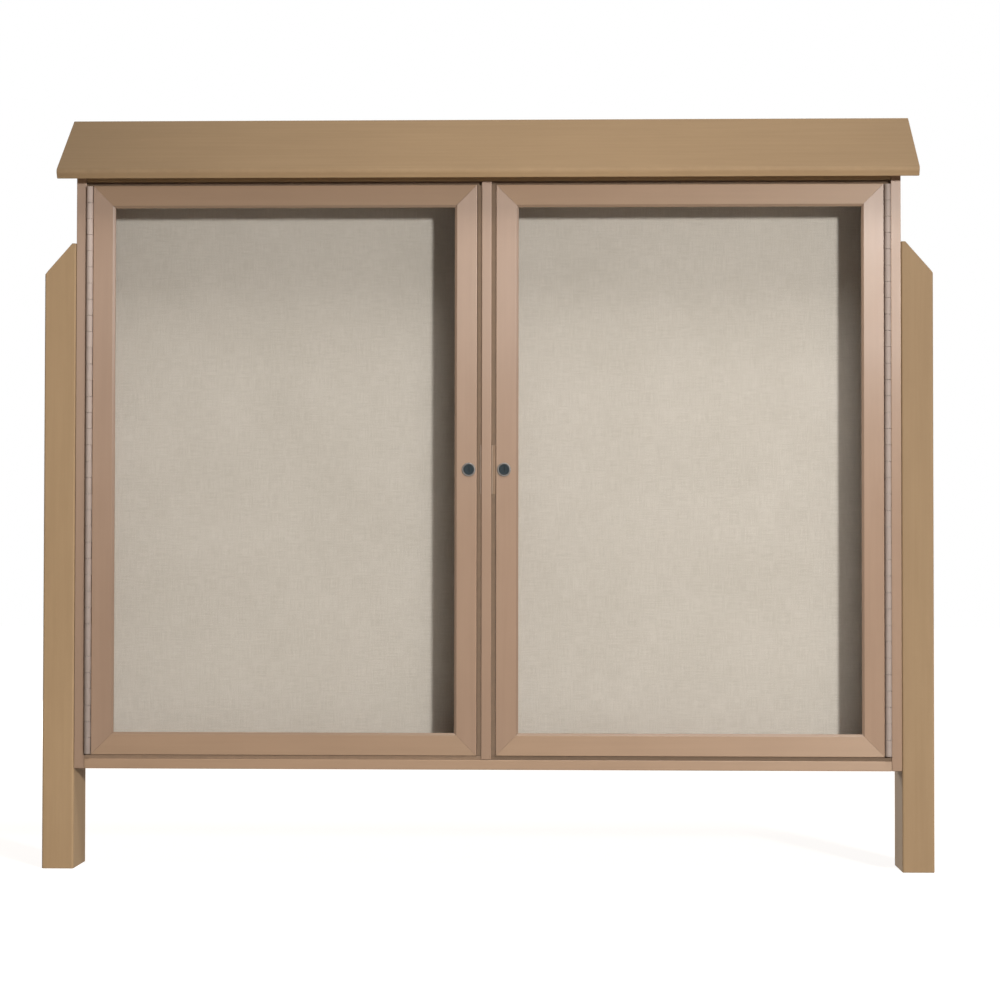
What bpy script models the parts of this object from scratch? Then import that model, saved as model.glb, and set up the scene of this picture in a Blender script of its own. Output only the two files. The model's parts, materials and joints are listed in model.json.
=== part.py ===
"""Freestanding two-door message board, at its real size in metres.

X runs to the right as seen from the front, Y runs from the front to the back, Z runs up. The origin is on
the ground, under the middle of the whole board. A weatherproof cabinet of plastic lumber boards hangs
between two posts under a sloping roof board. Two glazed doors are inset in its front, each on a full-height
hinge at its outer edge and with a cam lock at its inner edge. A wall between the doors carries the two
keepers. Behind each door is a posting board with a vinyl face.
"""
import math

import bmesh
import bpy
from mathutils import Vector

MM = 0.001
LEFT = -1
RIGHT = 1
SIDES = {LEFT: "left", RIGHT: "right"}

# Clearances
TOUCH = 0.3 * MM                    # left between two pieces that bear on each other

# Cabinet
CABINET_WIDTH = 1320.8 * MM
CABINET_DEPTH = 101.6 * MM
CABINET_LIFT = 160.0 * MM           # height of the cabinet's underside above the ground
BOARD = 15.9 * MM                   # thickness of the cabinet's boards
OPENING_HEIGHT = 926.1 * MM         # between the bottom board and the top board
BACK_THICKNESS = 6.35 * MM

# Roof
ROOF_THICKNESS = 15.9 * MM
ROOF_LENGTH = 180.0 * MM            # along the slope
ROOF_PITCH = math.radians(35.6)
ROOF_FRONT_OVERHANG = 43.6 * MM     # from the cabinet's face to the upper front edge
ROOF_SIDE_OVERHANG = 25.4 * MM
ROOF_EASE = 2.0 * MM                # rounding of the front edge, as a chamfer
BATTEN_DEPTH = 18.0 * MM
FRONT_BATTEN_HEIGHT = 7.0 * MM      # at the cabinet's face
REAR_BATTEN_HEIGHT = 30.0 * MM      # at the batten's front

# Posts
POST_WIDTH = 50.8 * MM
POST_DEPTH = 101.6 * MM
POST_HEIGHT = 1003.3 * MM
POST_TOP_FLAT = 6.8 * MM            # level part of the top, next to the cabinet
POST_SLOPE_HEIGHT = 50.0 * MM       # height of the sloping part of the top

# Screws that hold the posts to the cabinet
LAG_RADIUS = 4.2 * MM
LAG_HEAD_RADIUS = 9.0 * MM
LAG_HEAD_HEIGHT = 4.5 * MM
LAG_GRIP = 35.0 * MM                # depth of the thread in the post
LAG_POINT = 6.0 * MM                # length of the tapered end
LAG_RISE = 150.0 * MM               # of the lower screw above the cabinet's underside
LAG_DROP = 93.0 * MM                # of the upper screw below the post's top
LAG_SEGMENTS = 16

# Posting boards
CORE_THICKNESS = 12.7 * MM
VINYL_THICKNESS = 1.0 * MM

# Doors
HINGE_GAP = 10.9 * MM               # between the side panel and the door, filled by the hinge
LOCK_GAP = 7.3 * MM                 # between the wall in the middle and the door
DOOR_GAP = 6.4 * MM                 # above and below the door
DOOR_THICKNESS = 19.0 * MM
FRAME_WIDTH = 36.0 * MM             # of each stile and rail
FRAME_EASE = 1.0 * MM               # chamfer on the outer front edge
BEVEL_WIDTH = 5.5 * MM              # shallow bevel round the window
BEVEL_DEPTH = 1.8 * MM
LIP_THICKNESS = 6.0 * MM            # of the frame in front of the pane
REBATE_WIDTH = 10.0 * MM            # how far the frame reaches over the pane's seat
PANE_THICKNESS = 4.8 * MM
PANE_EDGE_GAP = 1.0 * MM
BEAD_WIDTH = 7.6 * MM
BEAD_INSET = 0.6 * MM               # of the bead's back below the frame's back
BEAD_EASE = 2.0 * MM

# Hinges
AXIS_PROUD = 1.5 * MM               # of the hinge axis in front of the cabinet's face
LEAF_THICKNESS = 1.2 * MM
LEAF_DEPTH = 17.0 * MM              # from the face to the leaf's back edge
PIN_RADIUS = 2.0 * MM
PIN_CLEARANCE = 0.3 * MM
KNUCKLE_COUNT = 35                  # along one hinge, both leaves together
KNUCKLE_GAP = 0.5 * MM
KNUCKLE_SEGMENTS = 12
BORE_SEGMENTS = 10
NOTCH_CLEARANCE = 0.5 * MM          # between a knuckle and the other leaf's notch
HINGE_END_GAP = 1.0 * MM            # of the hinge from the door's top and bottom

# Door stops and seals
STOP_HEIGHT = 12.0 * MM
STOP_DEPTH = 12.0 * MM
SEAL_THICKNESS = 3.0 * MM
SEAL_HEIGHT = 9.0 * MM
SEAL_END_GAP = 12.0 * MM            # keeps the seal's ends clear of the hinge leaf and the wall

# Locks
LOCK_EDGE = 13.0 * MM               # from the door's free edge to the lock's axis
LOCK_FACE_RADIUS = 11.0 * MM
LOCK_FACE_THICKNESS = 1.8 * MM
LOCK_BODY_RADIUS = 9.5 * MM
LOCK_BODY_TAIL = 0.7 * MM           # of the body behind its nut
NUT_THICKNESS = 3.0 * MM
NUT_ACROSS_FLATS = 24.0 * MM
PLUG_HEAD_RADIUS = 8.4 * MM
PLUG_HEAD_LENGTH = 4.0 * MM
PLUG_PROUD = 0.4 * MM               # of the plug's head in front of the lock's face
PLUG_RADIUS = 6.0 * MM
TENON_WIDTH = 7.0 * MM              # square end that turns the cam
KEYWAY_WIDTH = 2.2 * MM
KEYWAY_HEIGHT = 8.0 * MM
KEYWAY_DEPTH = 3.0 * MM
CAM_THICKNESS = 2.0 * MM
CAM_HALF_WIDTH = 6.5 * MM
CAM_TIP_GAP = 1.0 * MM              # between the locked cam and the keeper's leg
CAM_SCREW_RADIUS = 1.8 * MM
CAM_SCREW_HEAD_RADIUS = 4.5 * MM
CAM_SCREW_HEAD_HEIGHT = 2.4 * MM
CAM_SCREW_LENGTH = 10.0 * MM
LOCK_SEGMENTS = 24

# Keepers
KEEPER_HEIGHT = 78.0 * MM
KEEPER_THICKNESS = 2.0 * MM
KEEPER_FRONT = 1.0 * MM             # of the keeper behind the cabinet's face
KEEPER_BODY_GAP = 0.8 * MM          # between the lock's back and the keeper's lip
KEEPER_CAM_GAP = 0.7 * MM           # between the keeper's lip and the cam
CAM_SWING_GAP = 1.8 * MM            # between the keeper's lip and the hanging cam

# Finishes: base colour, roughness, metallic, alpha
FINISHES = {
    "board": ((0.38, 0.26, 0.15), 0.55, 0.0, 1.0),
    "frame": ((0.42, 0.30, 0.21), 0.45, 0.0, 1.0),
    "core": ((0.45, 0.30, 0.16), 0.90, 0.0, 1.0),
    "vinyl": ((0.54, 0.47, 0.38), 0.80, 0.0, 1.0),
    "glazing": ((0.90, 0.93, 0.92), 0.05, 0.0, 0.25),
    "rubber": ((0.03, 0.03, 0.03), 0.80, 0.0, 1.0),
    "hinge": ((0.45, 0.42, 0.38), 0.35, 1.0, 1.0),
    "steel": ((0.60, 0.60, 0.60), 0.35, 1.0, 1.0),
    "chrome": ((0.70, 0.70, 0.70), 0.15, 1.0, 1.0),
    "plug": ((0.05, 0.05, 0.06), 0.30, 1.0, 1.0),
}

# Places worked out from the sizes, with depths counted back from the cabinet's face
INNER_HALF = CABINET_WIDTH / 2 - BOARD
WALL_HALF = BOARD / 2
OPENING_WIDTH = INNER_HALF - WALL_HALF
DOOR_WIDTH = OPENING_WIDTH - HINGE_GAP - LOCK_GAP
DOOR_INNER = WALL_HALF + LOCK_GAP                   # distance of the free edge from the middle
DOOR_OUTER = DOOR_INNER + DOOR_WIDTH
HINGE_X = DOOR_OUTER + HINGE_GAP / 2
LOCK_X = DOOR_INNER + LOCK_EDGE
BACK_DEPTH = CABINET_DEPTH - BACK_THICKNESS         # front of the back panel
CORE_DEPTH = BACK_DEPTH - TOUCH - CORE_THICKNESS    # front of the posting board's core

BOTTOM_Z = CABINET_LIFT
OPENING_LOW = BOTTOM_Z + BOARD
OPENING_HIGH = OPENING_LOW + OPENING_HEIGHT
TOP_Z = OPENING_HIGH + BOARD
DOOR_LOW = OPENING_LOW + DOOR_GAP
DOOR_HIGH = OPENING_HIGH - DOOR_GAP
LOCK_Z = (DOOR_LOW + DOOR_HIGH) / 2
LAG_LEVELS = (BOTTOM_Z + LAG_RISE, POST_HEIGHT - LAG_DROP)
ROOF_SEAT_Z = TOP_Z + TOUCH + FRONT_BATTEN_HEIGHT + TOUCH   # roof's underside over the cabinet's face

NUT_DEPTH = DOOR_THICKNESS + TOUCH
BODY_END = NUT_DEPTH + NUT_THICKNESS + LOCK_BODY_TAIL
KEEPER_LIP_DEPTH = BODY_END + KEEPER_BODY_GAP
CAM_DEPTH = KEEPER_LIP_DEPTH + KEEPER_THICKNESS + KEEPER_CAM_GAP
CAM_BACK = CAM_DEPTH + CAM_THICKNESS
KEEPER_LEG_X = WALL_HALF + TOUCH
CAM_LENGTH = LOCK_X - (KEEPER_LEG_X + KEEPER_THICKNESS) - CAM_TIP_GAP
KNUCKLE_RADIUS = HINGE_GAP / 2 - TOUCH

ROOF_BACK_OVERHANG = (
    ROOF_LENGTH * math.cos(ROOF_PITCH) + ROOF_THICKNESS * math.sin(ROOF_PITCH)
    - ROOF_FRONT_OVERHANG - CABINET_DEPTH
)
FOREMOST = ROOF_FRONT_OVERHANG - ROOF_EASE * math.sin(ROOF_PITCH)
FACE_Y = (FOREMOST - CABINET_DEPTH - ROOF_BACK_OVERHANG) / 2


def y_at(depth):
    """World Y of a depth counted back from the cabinet's face."""
    return FACE_Y + depth


def under_roof(depth):
    """Height of the roof's underside over a depth, less the bearing clearance."""
    return ROOF_SEAT_Z + depth * math.tan(ROOF_PITCH) - TOUCH


# Drawing tools

def clear_scene():
    for item in list(bpy.data.objects):
        bpy.data.objects.remove(item, do_unlink=True)


def make_material(node_name, finish):
    colour, roughness, metallic, alpha = FINISHES[finish]
    material = bpy.data.materials.new(node_name + "_finish")
    material.use_nodes = True
    shader = material.node_tree.nodes["Principled BSDF"]
    shader.inputs["Base Color"].default_value = (*colour, 1.0)
    shader.inputs["Roughness"].default_value = roughness
    shader.inputs["Metallic"].default_value = metallic
    shader.inputs["Alpha"].default_value = alpha
    return material


def place(name, shape, finish, origin, parent=None, round_piece=False):
    """Turn a drawn shape into a named object whose own origin is at the given world point."""
    origin = Vector(origin)
    bmesh.ops.recalc_face_normals(shape, faces=shape.faces)
    bmesh.ops.translate(shape, vec=-origin, verts=shape.verts)
    mesh = bpy.data.meshes.new(name)
    shape.to_mesh(mesh)
    shape.free()
    if round_piece:
        mesh.shade_smooth()
        mesh.set_sharp_from_angle(angle=math.radians(35))
    piece = bpy.data.objects.new(name, mesh)
    bpy.context.collection.objects.link(piece)
    piece.location = origin
    if parent is not None:
        piece.parent = parent
        piece.location = origin - world_place(parent)
    if finish is not None:
        mesh.materials.append(make_material(name, finish))
    return piece


def world_place(item):
    """Sum of an object's location and those of its parents, none of which is turned."""
    spot = Vector(item.location)
    if item.parent is not None:
        spot += world_place(item.parent)
    return spot


def make_axis(name, spot, parent=None):
    """An empty on a joint's axis, which carries the pieces that turn about it."""
    axis = bpy.data.objects.new(name, None)
    axis.empty_display_size = 0.03
    bpy.context.collection.objects.link(axis)
    axis.location = Vector(spot)
    if parent is not None:
        axis.parent = parent
        axis.location = Vector(spot) - world_place(parent)
    return axis


def as_cutter(item):
    item.hide_render = True
    item.display_type = "WIRE"


def combine(piece, other, operation):
    """Join another shape to a piece, or cut it away."""
    step = piece.modifiers.new(other.name, "BOOLEAN")
    step.operation = operation
    step.solver = "EXACT"
    step.object = other
    as_cutter(other)


def swept(outline, axis, low, high):
    """A flat outline pushed along one axis. Its points are given in the other two axes, in XYZ order."""
    first, second, along = {"X": (1, 2, 0), "Y": (0, 2, 1), "Z": (0, 1, 2)}[axis]
    shape = bmesh.new()
    corners = []
    for a, b in outline:
        point = Vector((0, 0, 0))
        point[first] = a
        point[second] = b
        point[along] = low
        corners.append(shape.verts.new(point))
    face = shape.faces.new(corners)
    moved = bmesh.ops.extrude_face_region(shape, geom=[face], use_keep_orig=True)
    shift = Vector((0, 0, 0))
    shift[along] = high - low
    fresh = [item for item in moved["geom"] if isinstance(item, bmesh.types.BMVert)]
    bmesh.ops.translate(shape, vec=shift, verts=fresh)
    return shape


def block(low, high):
    """A rectangular block between two corners."""
    outline = [(low[0], low[1]), (high[0], low[1]), (high[0], high[1]), (low[0], high[1])]
    return swept(outline, "Z", low[2], high[2])


def turned(profile, centre, axis, segments):
    """A profile of (radius, distance along the axis) points turned round an axis through a point."""
    along = {"X": Vector((1, 0, 0)), "Y": Vector((0, 1, 0)), "Z": Vector((0, 0, 1))}[axis]
    out = {"X": Vector((0, 0, 1)), "Y": Vector((0, 0, 1)), "Z": Vector((1, 0, 0))}[axis]
    centre = Vector(centre)
    shape = bmesh.new()
    points = [shape.verts.new(centre + out * radius + along * reach) for radius, reach in profile]
    edges = [shape.edges.new(pair) for pair in zip(points, points[1:])]
    if profile[0][0] > 0:
        edges.append(shape.edges.new((points[-1], points[0])))
    bmesh.ops.spin(
        shape, geom=points + edges, cent=centre, axis=along,
        angle=math.tau, steps=segments, use_merge=True, use_duplicate=False,
    )
    bmesh.ops.remove_doubles(shape, verts=shape.verts, dist=0.001 * MM)
    return shape


def rod(centre, axis, radius, low, high, segments):
    """A plain round rod between two distances along its axis."""
    return turned([(0, low), (radius, low), (radius, high), (0, high)], centre, axis, segments)


def mitred(profile, start, along, inward, length):
    """A strip whose ends are cut at 45 degrees. The profile gives (distance inward, depth) points."""
    along = Vector(along)
    inward = Vector(inward)
    shape = bmesh.new()
    near = []
    far = []
    for reach, depth in profile:
        spot = Vector(start) + inward * reach + Vector((0, depth, 0))
        near.append(shape.verts.new(spot + along * reach))
        far.append(shape.verts.new(spot + along * (length - reach)))
    shape.faces.new(near)
    shape.faces.new(list(reversed(far)))
    count = len(profile)
    for index in range(count):
        after = (index + 1) % count
        shape.faces.new((near[index], far[index], far[after], near[after]))
    return shape


def rectangular_ring(profile, left, right, low, high, face_y):
    """A closed profile of (distance inward, depth) points carried round a rectangle."""
    shape = bmesh.new()
    loops = []
    for reach, depth in profile:
        corners = (
            (left + reach, low + reach), (right - reach, low + reach),
            (right - reach, high - reach), (left + reach, high - reach),
        )
        loops.append([shape.verts.new((x, face_y + depth, z)) for x, z in corners])
    for index, loop in enumerate(loops):
        after = loops[(index + 1) % len(loops)]
        for corner in range(4):
            turn = (corner + 1) % 4
            shape.faces.new((loop[corner], loop[turn], after[turn], after[corner]))
    return shape


# Cabinet

def make_side_panel(side):
    inner = side * INNER_HALF
    outer = side * CABINET_WIDTH / 2
    outline = [
        (y_at(0), BOTTOM_Z),
        (y_at(CABINET_DEPTH), BOTTOM_Z),
        (y_at(CABINET_DEPTH), under_roof(CABINET_DEPTH)),
        (y_at(0), under_roof(0)),
    ]
    shape = swept(outline, "X", inner, outer)
    panel = place(f"{SIDES[side]}_side_panel", shape, "board", (outer, y_at(0), BOTTOM_Z))
    combine(panel, make_lag_holes(side, "panel"), "DIFFERENCE")


def make_lag_holes(side, what):
    """The screws' clearance holes, as one group of rods to cut with."""
    group = bmesh.new()
    reach = BOARD + TOUCH + LAG_GRIP + 2 * TOUCH
    for level in LAG_LEVELS:
        centre = (side * INNER_HALF, y_at(CABINET_DEPTH / 2), level)
        low, high = sorted((-side * TOUCH, side * reach))
        hole = rod(centre, "X", LAG_RADIUS + TOUCH, low, high, LAG_SEGMENTS)
        bmesh.ops.recalc_face_normals(hole, faces=hole.faces)
        mesh = bpy.data.meshes.new("lag_hole")
        hole.to_mesh(mesh)
        hole.free()
        group.from_mesh(mesh)
    return place(f"{SIDES[side]}_{what}_lag_holes", group, None, (side * INNER_HALF, y_at(0), BOTTOM_Z))


def make_level_boards():
    depth = BACK_DEPTH - TOUCH
    half = INNER_HALF - TOUCH
    for name, low in (("bottom_board", BOTTOM_Z), ("top_board", OPENING_HIGH)):
        shape = block((-half, y_at(0), low), (half, y_at(depth), low + BOARD))
        place(name, shape, "board", (0, y_at(0), low))


def make_centre_wall():
    low = (-WALL_HALF, y_at(0), OPENING_LOW + TOUCH)
    high = (WALL_HALF, y_at(BACK_DEPTH - TOUCH), OPENING_HIGH - TOUCH)
    place("centre_mullion", block(low, high), "board", (0, y_at(0), low[2]))


def make_back_panel():
    half = INNER_HALF - TOUCH
    outline = [
        (y_at(BACK_DEPTH), BOTTOM_Z),
        (y_at(CABINET_DEPTH), BOTTOM_Z),
        (y_at(CABINET_DEPTH), under_roof(CABINET_DEPTH)),
        (y_at(BACK_DEPTH), under_roof(BACK_DEPTH)),
    ]
    place("back_panel", swept(outline, "X", -half, half), "board", (0, y_at(BACK_DEPTH), BOTTOM_Z))


def make_roof():
    """The roof board is drawn level, with its lower front edge at its origin, and then tipped up."""
    half = CABINET_WIDTH / 2 + ROOF_SIDE_OVERHANG
    outline = [
        (0, ROOF_EASE),
        (ROOF_EASE, 0),
        (ROOF_LENGTH, 0),
        (ROOF_LENGTH, ROOF_THICKNESS),
        (ROOF_EASE, ROOF_THICKNESS),
        (0, ROOF_THICKNESS - ROOF_EASE),
    ]
    front = -ROOF_FRONT_OVERHANG + ROOF_THICKNESS * math.sin(ROOF_PITCH)
    height = ROOF_SEAT_Z + front * math.tan(ROOF_PITCH)
    roof = place("roof_board", swept(outline, "X", -half, half), "board", (0, 0, 0))
    roof.location = (0, y_at(front), height)
    roof.rotation_euler = (ROOF_PITCH, 0, 0)


def make_battens():
    half = INNER_HALF - TOUCH
    low = TOP_Z + TOUCH
    outline = [
        (y_at(0), low),
        (y_at(BATTEN_DEPTH), low),
        (y_at(BATTEN_DEPTH), under_roof(BATTEN_DEPTH)),
        (y_at(0), under_roof(0)),
    ]
    place("front_roof_batten", swept(outline, "X", -half, half), "board", (0, y_at(0), low))

    back = BACK_DEPTH - TOUCH
    front = back - BATTEN_DEPTH
    low = under_roof(front) - REAR_BATTEN_HEIGHT
    outline = [
        (y_at(front), low),
        (y_at(back), low),
        (y_at(back), under_roof(back)),
        (y_at(front), under_roof(front)),
    ]
    place("rear_roof_batten", swept(outline, "X", -half, half), "board", (0, y_at(back), low))


def make_posting_board(side):
    """The core stands on the bottom board against the back panel, with the vinyl on its front."""
    near = side * (WALL_HALF + TOUCH)
    far = side * (INNER_HALF - TOUCH)
    left, right = sorted((near, far))
    low = OPENING_LOW + TOUCH
    high = OPENING_HIGH - TOUCH
    core = block((left, y_at(CORE_DEPTH), low), (right, y_at(CORE_DEPTH + CORE_THICKNESS), high))
    place(f"{SIDES[side]}_posting_board", core, "core", (near, y_at(CORE_DEPTH), low))
    front = CORE_DEPTH - TOUCH - VINYL_THICKNESS
    vinyl = block((left, y_at(front), low), (right, y_at(front + VINYL_THICKNESS), high))
    place(f"{SIDES[side]}_vinyl_face", vinyl, "vinyl", (near, y_at(front), low))


# Posts

def make_post(side):
    inner = side * (CABINET_WIDTH / 2 + TOUCH)
    outer = inner + side * POST_WIDTH
    outline = [
        (inner, 0),
        (outer, 0),
        (outer, POST_HEIGHT - POST_SLOPE_HEIGHT),
        (inner + side * POST_TOP_FLAT, POST_HEIGHT),
        (inner, POST_HEIGHT),
    ]
    middle = y_at(CABINET_DEPTH / 2)
    shape = swept(outline, "Y", middle - POST_DEPTH / 2, middle + POST_DEPTH / 2)
    post = place(f"{SIDES[side]}_post", shape, "board", ((inner + outer) / 2, middle, 0))
    combine(post, make_lag_holes(side, "post"), "DIFFERENCE")


def make_lag_screws(side):
    """Each screw's head is inside the cabinet, and its shank runs through the side panel into the post."""
    shank = BOARD + TOUCH + LAG_GRIP
    profile = [
        (0, -TOUCH - LAG_HEAD_HEIGHT),
        (LAG_HEAD_RADIUS * 0.7, -TOUCH - LAG_HEAD_HEIGHT),
        (LAG_HEAD_RADIUS, -TOUCH - LAG_HEAD_HEIGHT / 2),
        (LAG_HEAD_RADIUS, -TOUCH),
        (LAG_RADIUS, -TOUCH),
        (LAG_RADIUS, shank - LAG_POINT),
        (0, shank),
    ]
    outward = [(radius, side * reach) for radius, reach in profile]
    for number, level in enumerate(LAG_LEVELS, start=1):
        centre = (side * INNER_HALF, y_at(CABINET_DEPTH / 2), level)
        shape = turned(outward, centre, "X", LAG_SEGMENTS)
        place(f"{SIDES[side]}_post_screw_{number}", shape, "steel", centre, round_piece=True)


# Doors

def make_door_frame(side, axis):
    """Two stiles and two rails with one profile, mitred at the corners."""
    profile = [
        (0, FRAME_EASE),
        (FRAME_EASE, 0),
        (FRAME_WIDTH - BEVEL_WIDTH, 0),
        (FRAME_WIDTH, BEVEL_DEPTH),
        (FRAME_WIDTH, LIP_THICKNESS),
        (FRAME_WIDTH - REBATE_WIDTH, LIP_THICKNESS),
        (FRAME_WIDTH - REBATE_WIDTH, DOOR_THICKNESS),
        (0, DOOR_THICKNESS),
    ]
    left, right = sorted((side * DOOR_INNER, side * DOOR_OUTER))
    height = DOOR_HIGH - DOOR_LOW
    up = Vector((0, 0, 1))
    outward = Vector((side, 0, 0))
    trim = TOUCH / 2
    front = y_at(0)
    inner_start = Vector((side * DOOR_INNER, front, DOOR_LOW)) + up * trim
    outer_start = Vector((side * DOOR_OUTER, front, DOOR_LOW)) + up * trim
    low_start = Vector((left + trim, front, DOOR_LOW))
    high_start = Vector((left + trim, front, DOOR_HIGH))
    stile = height - 2 * trim
    rail = right - left - 2 * trim
    strips = (
        ("inner_stile", inner_start, up, outward, stile),
        ("outer_stile", outer_start, up, -outward, stile),
        ("bottom_rail", low_start, Vector((1, 0, 0)), up, rail),
        ("top_rail", high_start, Vector((1, 0, 0)), -up, rail),
    )
    pieces = {}
    for name, start, along, inward, length in strips:
        shape = mitred(profile, start, along, inward, length)
        pieces[name] = place(f"{SIDES[side]}_door_{name}", shape, "frame", start, parent=axis)
    hole = rod((side * LOCK_X, front, LOCK_Z), "Y", LOCK_BODY_RADIUS + TOUCH, -TOUCH * 5,
               DOOR_THICKNESS + TOUCH * 5, LOCK_SEGMENTS)
    cutter = place(f"{SIDES[side]}_lock_hole", hole, None, (side * LOCK_X, front, LOCK_Z), parent=axis)
    combine(pieces["inner_stile"], cutter, "DIFFERENCE")


def make_glazing(side, axis):
    """The pane lies in the frame's rebate, and a bead behind it holds it there."""
    seat = FRAME_WIDTH - REBATE_WIDTH
    left, right = sorted((side * DOOR_INNER, side * DOOR_OUTER))
    reach = seat + PANE_EDGE_GAP
    pane_front = LIP_THICKNESS + TOUCH
    pane_back = pane_front + PANE_THICKNESS
    low = (left + reach, y_at(pane_front), DOOR_LOW + reach)
    high = (right - reach, y_at(pane_back), DOOR_HIGH - reach)
    place(f"{SIDES[side]}_door_pane", block(low, high), "glazing", low, parent=axis)

    outer = seat + TOUCH
    inner = outer + BEAD_WIDTH
    bead_front = pane_back + TOUCH
    bead_back = DOOR_THICKNESS - BEAD_INSET
    profile = [
        (outer, bead_front),
        (inner, bead_front),
        (inner, bead_back - BEAD_EASE),
        (inner - BEAD_EASE, bead_back),
        (outer, bead_back),
    ]
    shape = rectangular_ring(profile, left, right, DOOR_LOW, DOOR_HIGH, y_at(0))
    place(f"{SIDES[side]}_glazing_bead", shape, "rubber", low, parent=axis)


def knuckle_outline(centre_x, centre_y, outward):
    """The leaf's sheet rolled into an eye: an arc round the axis that runs off into a straight tab."""
    inner_face = KNUCKLE_RADIUS - LEAF_THICKNESS
    start = math.acos(inner_face / KNUCKLE_RADIUS)
    arc = []
    for step in range(KNUCKLE_SEGMENTS + 1):
        angle = start + (math.tau - start) * step / KNUCKLE_SEGMENTS
        arc.append((KNUCKLE_RADIUS * math.cos(angle), KNUCKLE_RADIUS * math.sin(angle)))
    tab = KNUCKLE_RADIUS + NOTCH_CLEARANCE + LEAF_THICKNESS
    outline = arc + [(KNUCKLE_RADIUS, tab), (inner_face, tab)]
    return [(centre_x + outward * x, centre_y + y) for x, y in outline]


def make_leaf(side, which, parent):
    """One leaf of a hinge: a sheet along the door's edge or the side panel, with every second knuckle."""
    outward = side if which == "cabinet" else -side
    first = 0 if which == "cabinet" else 1
    centre_x = side * HINGE_X
    centre_y = y_at(-AXIS_PROUD)
    low = DOOR_LOW + HINGE_END_GAP
    high = DOOR_HIGH - HINGE_END_GAP
    pitch = (high - low) / KNUCKLE_COUNT
    faces = sorted((centre_x + outward * (KNUCKLE_RADIUS - LEAF_THICKNESS), centre_x + outward * KNUCKLE_RADIUS))
    sheet_front = centre_y + KNUCKLE_RADIUS + NOTCH_CLEARANCE
    sheet = block((faces[0], sheet_front, low), (faces[1], y_at(LEAF_DEPTH), high))
    origin = (centre_x, centre_y, low)
    leaf = place(f"{SIDES[side]}_hinge_{which}_leaf", sheet, "hinge", origin, parent=parent)

    group = bmesh.new()
    for index in range(first, KNUCKLE_COUNT, 2):
        bottom = low + pitch * index + KNUCKLE_GAP / 2
        top = low + pitch * (index + 1) - KNUCKLE_GAP / 2
        eye = swept(knuckle_outline(centre_x, centre_y, outward), "Z", bottom, top)
        bmesh.ops.recalc_face_normals(eye, faces=eye.faces)
        mesh = bpy.data.meshes.new("knuckle")
        eye.to_mesh(mesh)
        eye.free()
        group.from_mesh(mesh)
    knuckles = place(f"{SIDES[side]}_{which}_knuckles", group, None, origin, parent=parent)
    combine(leaf, knuckles, "UNION")

    bore = rod((centre_x, centre_y, low), "Z", PIN_RADIUS + PIN_CLEARANCE, -KNUCKLE_GAP,
               high - low + KNUCKLE_GAP, BORE_SEGMENTS)
    cutter = place(f"{SIDES[side]}_{which}_bore", bore, None, origin, parent=parent)
    combine(leaf, cutter, "DIFFERENCE")


def make_hinge(side, axis):
    make_leaf(side, "cabinet", None)
    make_leaf(side, "door", axis)
    low = DOOR_LOW + HINGE_END_GAP
    length = DOOR_HIGH - DOOR_LOW - 2 * HINGE_END_GAP
    centre = (side * HINGE_X, y_at(-AXIS_PROUD), low)
    pin = rod(centre, "Z", PIN_RADIUS, 0, length, BORE_SEGMENTS)
    place(f"{SIDES[side]}_hinge_pin", pin, "steel", centre, round_piece=True)


# Stops and seals

def make_stops(side):
    """A strip above and below the door stops it from swinging in, and carries a foam seal."""
    stop_front = DOOR_THICKNESS + TOUCH + SEAL_THICKNESS + TOUCH
    left, right = sorted((side * (WALL_HALF + TOUCH), side * (INNER_HALF - TOUCH)))
    for level in ("top", "bottom"):
        if level == "top":
            high = OPENING_HIGH - TOUCH
            low = high - STOP_HEIGHT
            seal_low = low
        else:
            low = OPENING_LOW + TOUCH
            high = low + STOP_HEIGHT
            seal_low = high - SEAL_HEIGHT
        strip = block((left, y_at(stop_front), low), (right, y_at(stop_front + STOP_DEPTH), high))
        place(f"{SIDES[side]}_{level}_stop", strip, "board", (left, y_at(stop_front), low))
        seal_front = DOOR_THICKNESS + TOUCH
        seal = block(
            (left + SEAL_END_GAP, y_at(seal_front), seal_low),
            (right - SEAL_END_GAP, y_at(seal_front + SEAL_THICKNESS), seal_low + SEAL_HEIGHT),
        )
        place(f"{SIDES[side]}_{level}_seal", seal, "rubber", (left, y_at(seal_front), seal_low))


# Locks

def make_lock_body(side, door_axis):
    """A stepped sleeve through the stile, with a round face in front."""
    centre = (side * LOCK_X, y_at(0), LOCK_Z)
    face = -TOUCH - LOCK_FACE_THICKNESS
    step = face - PLUG_PROUD + PLUG_HEAD_LENGTH + TOUCH
    profile = [
        (PLUG_HEAD_RADIUS + TOUCH, face),
        (LOCK_FACE_RADIUS - LOCK_FACE_THICKNESS / 2, face),
        (LOCK_FACE_RADIUS, face + LOCK_FACE_THICKNESS / 2),
        (LOCK_FACE_RADIUS, -TOUCH),
        (LOCK_BODY_RADIUS, -TOUCH),
        (LOCK_BODY_RADIUS, BODY_END),
        (PLUG_RADIUS + TOUCH, BODY_END),
        (PLUG_RADIUS + TOUCH, step),
        (PLUG_HEAD_RADIUS + TOUCH, step),
    ]
    shape = turned(profile, centre, "Y", LOCK_SEGMENTS)
    place(f"{SIDES[side]}_lock_body", shape, "chrome", centre, parent=door_axis, round_piece=True)


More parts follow.
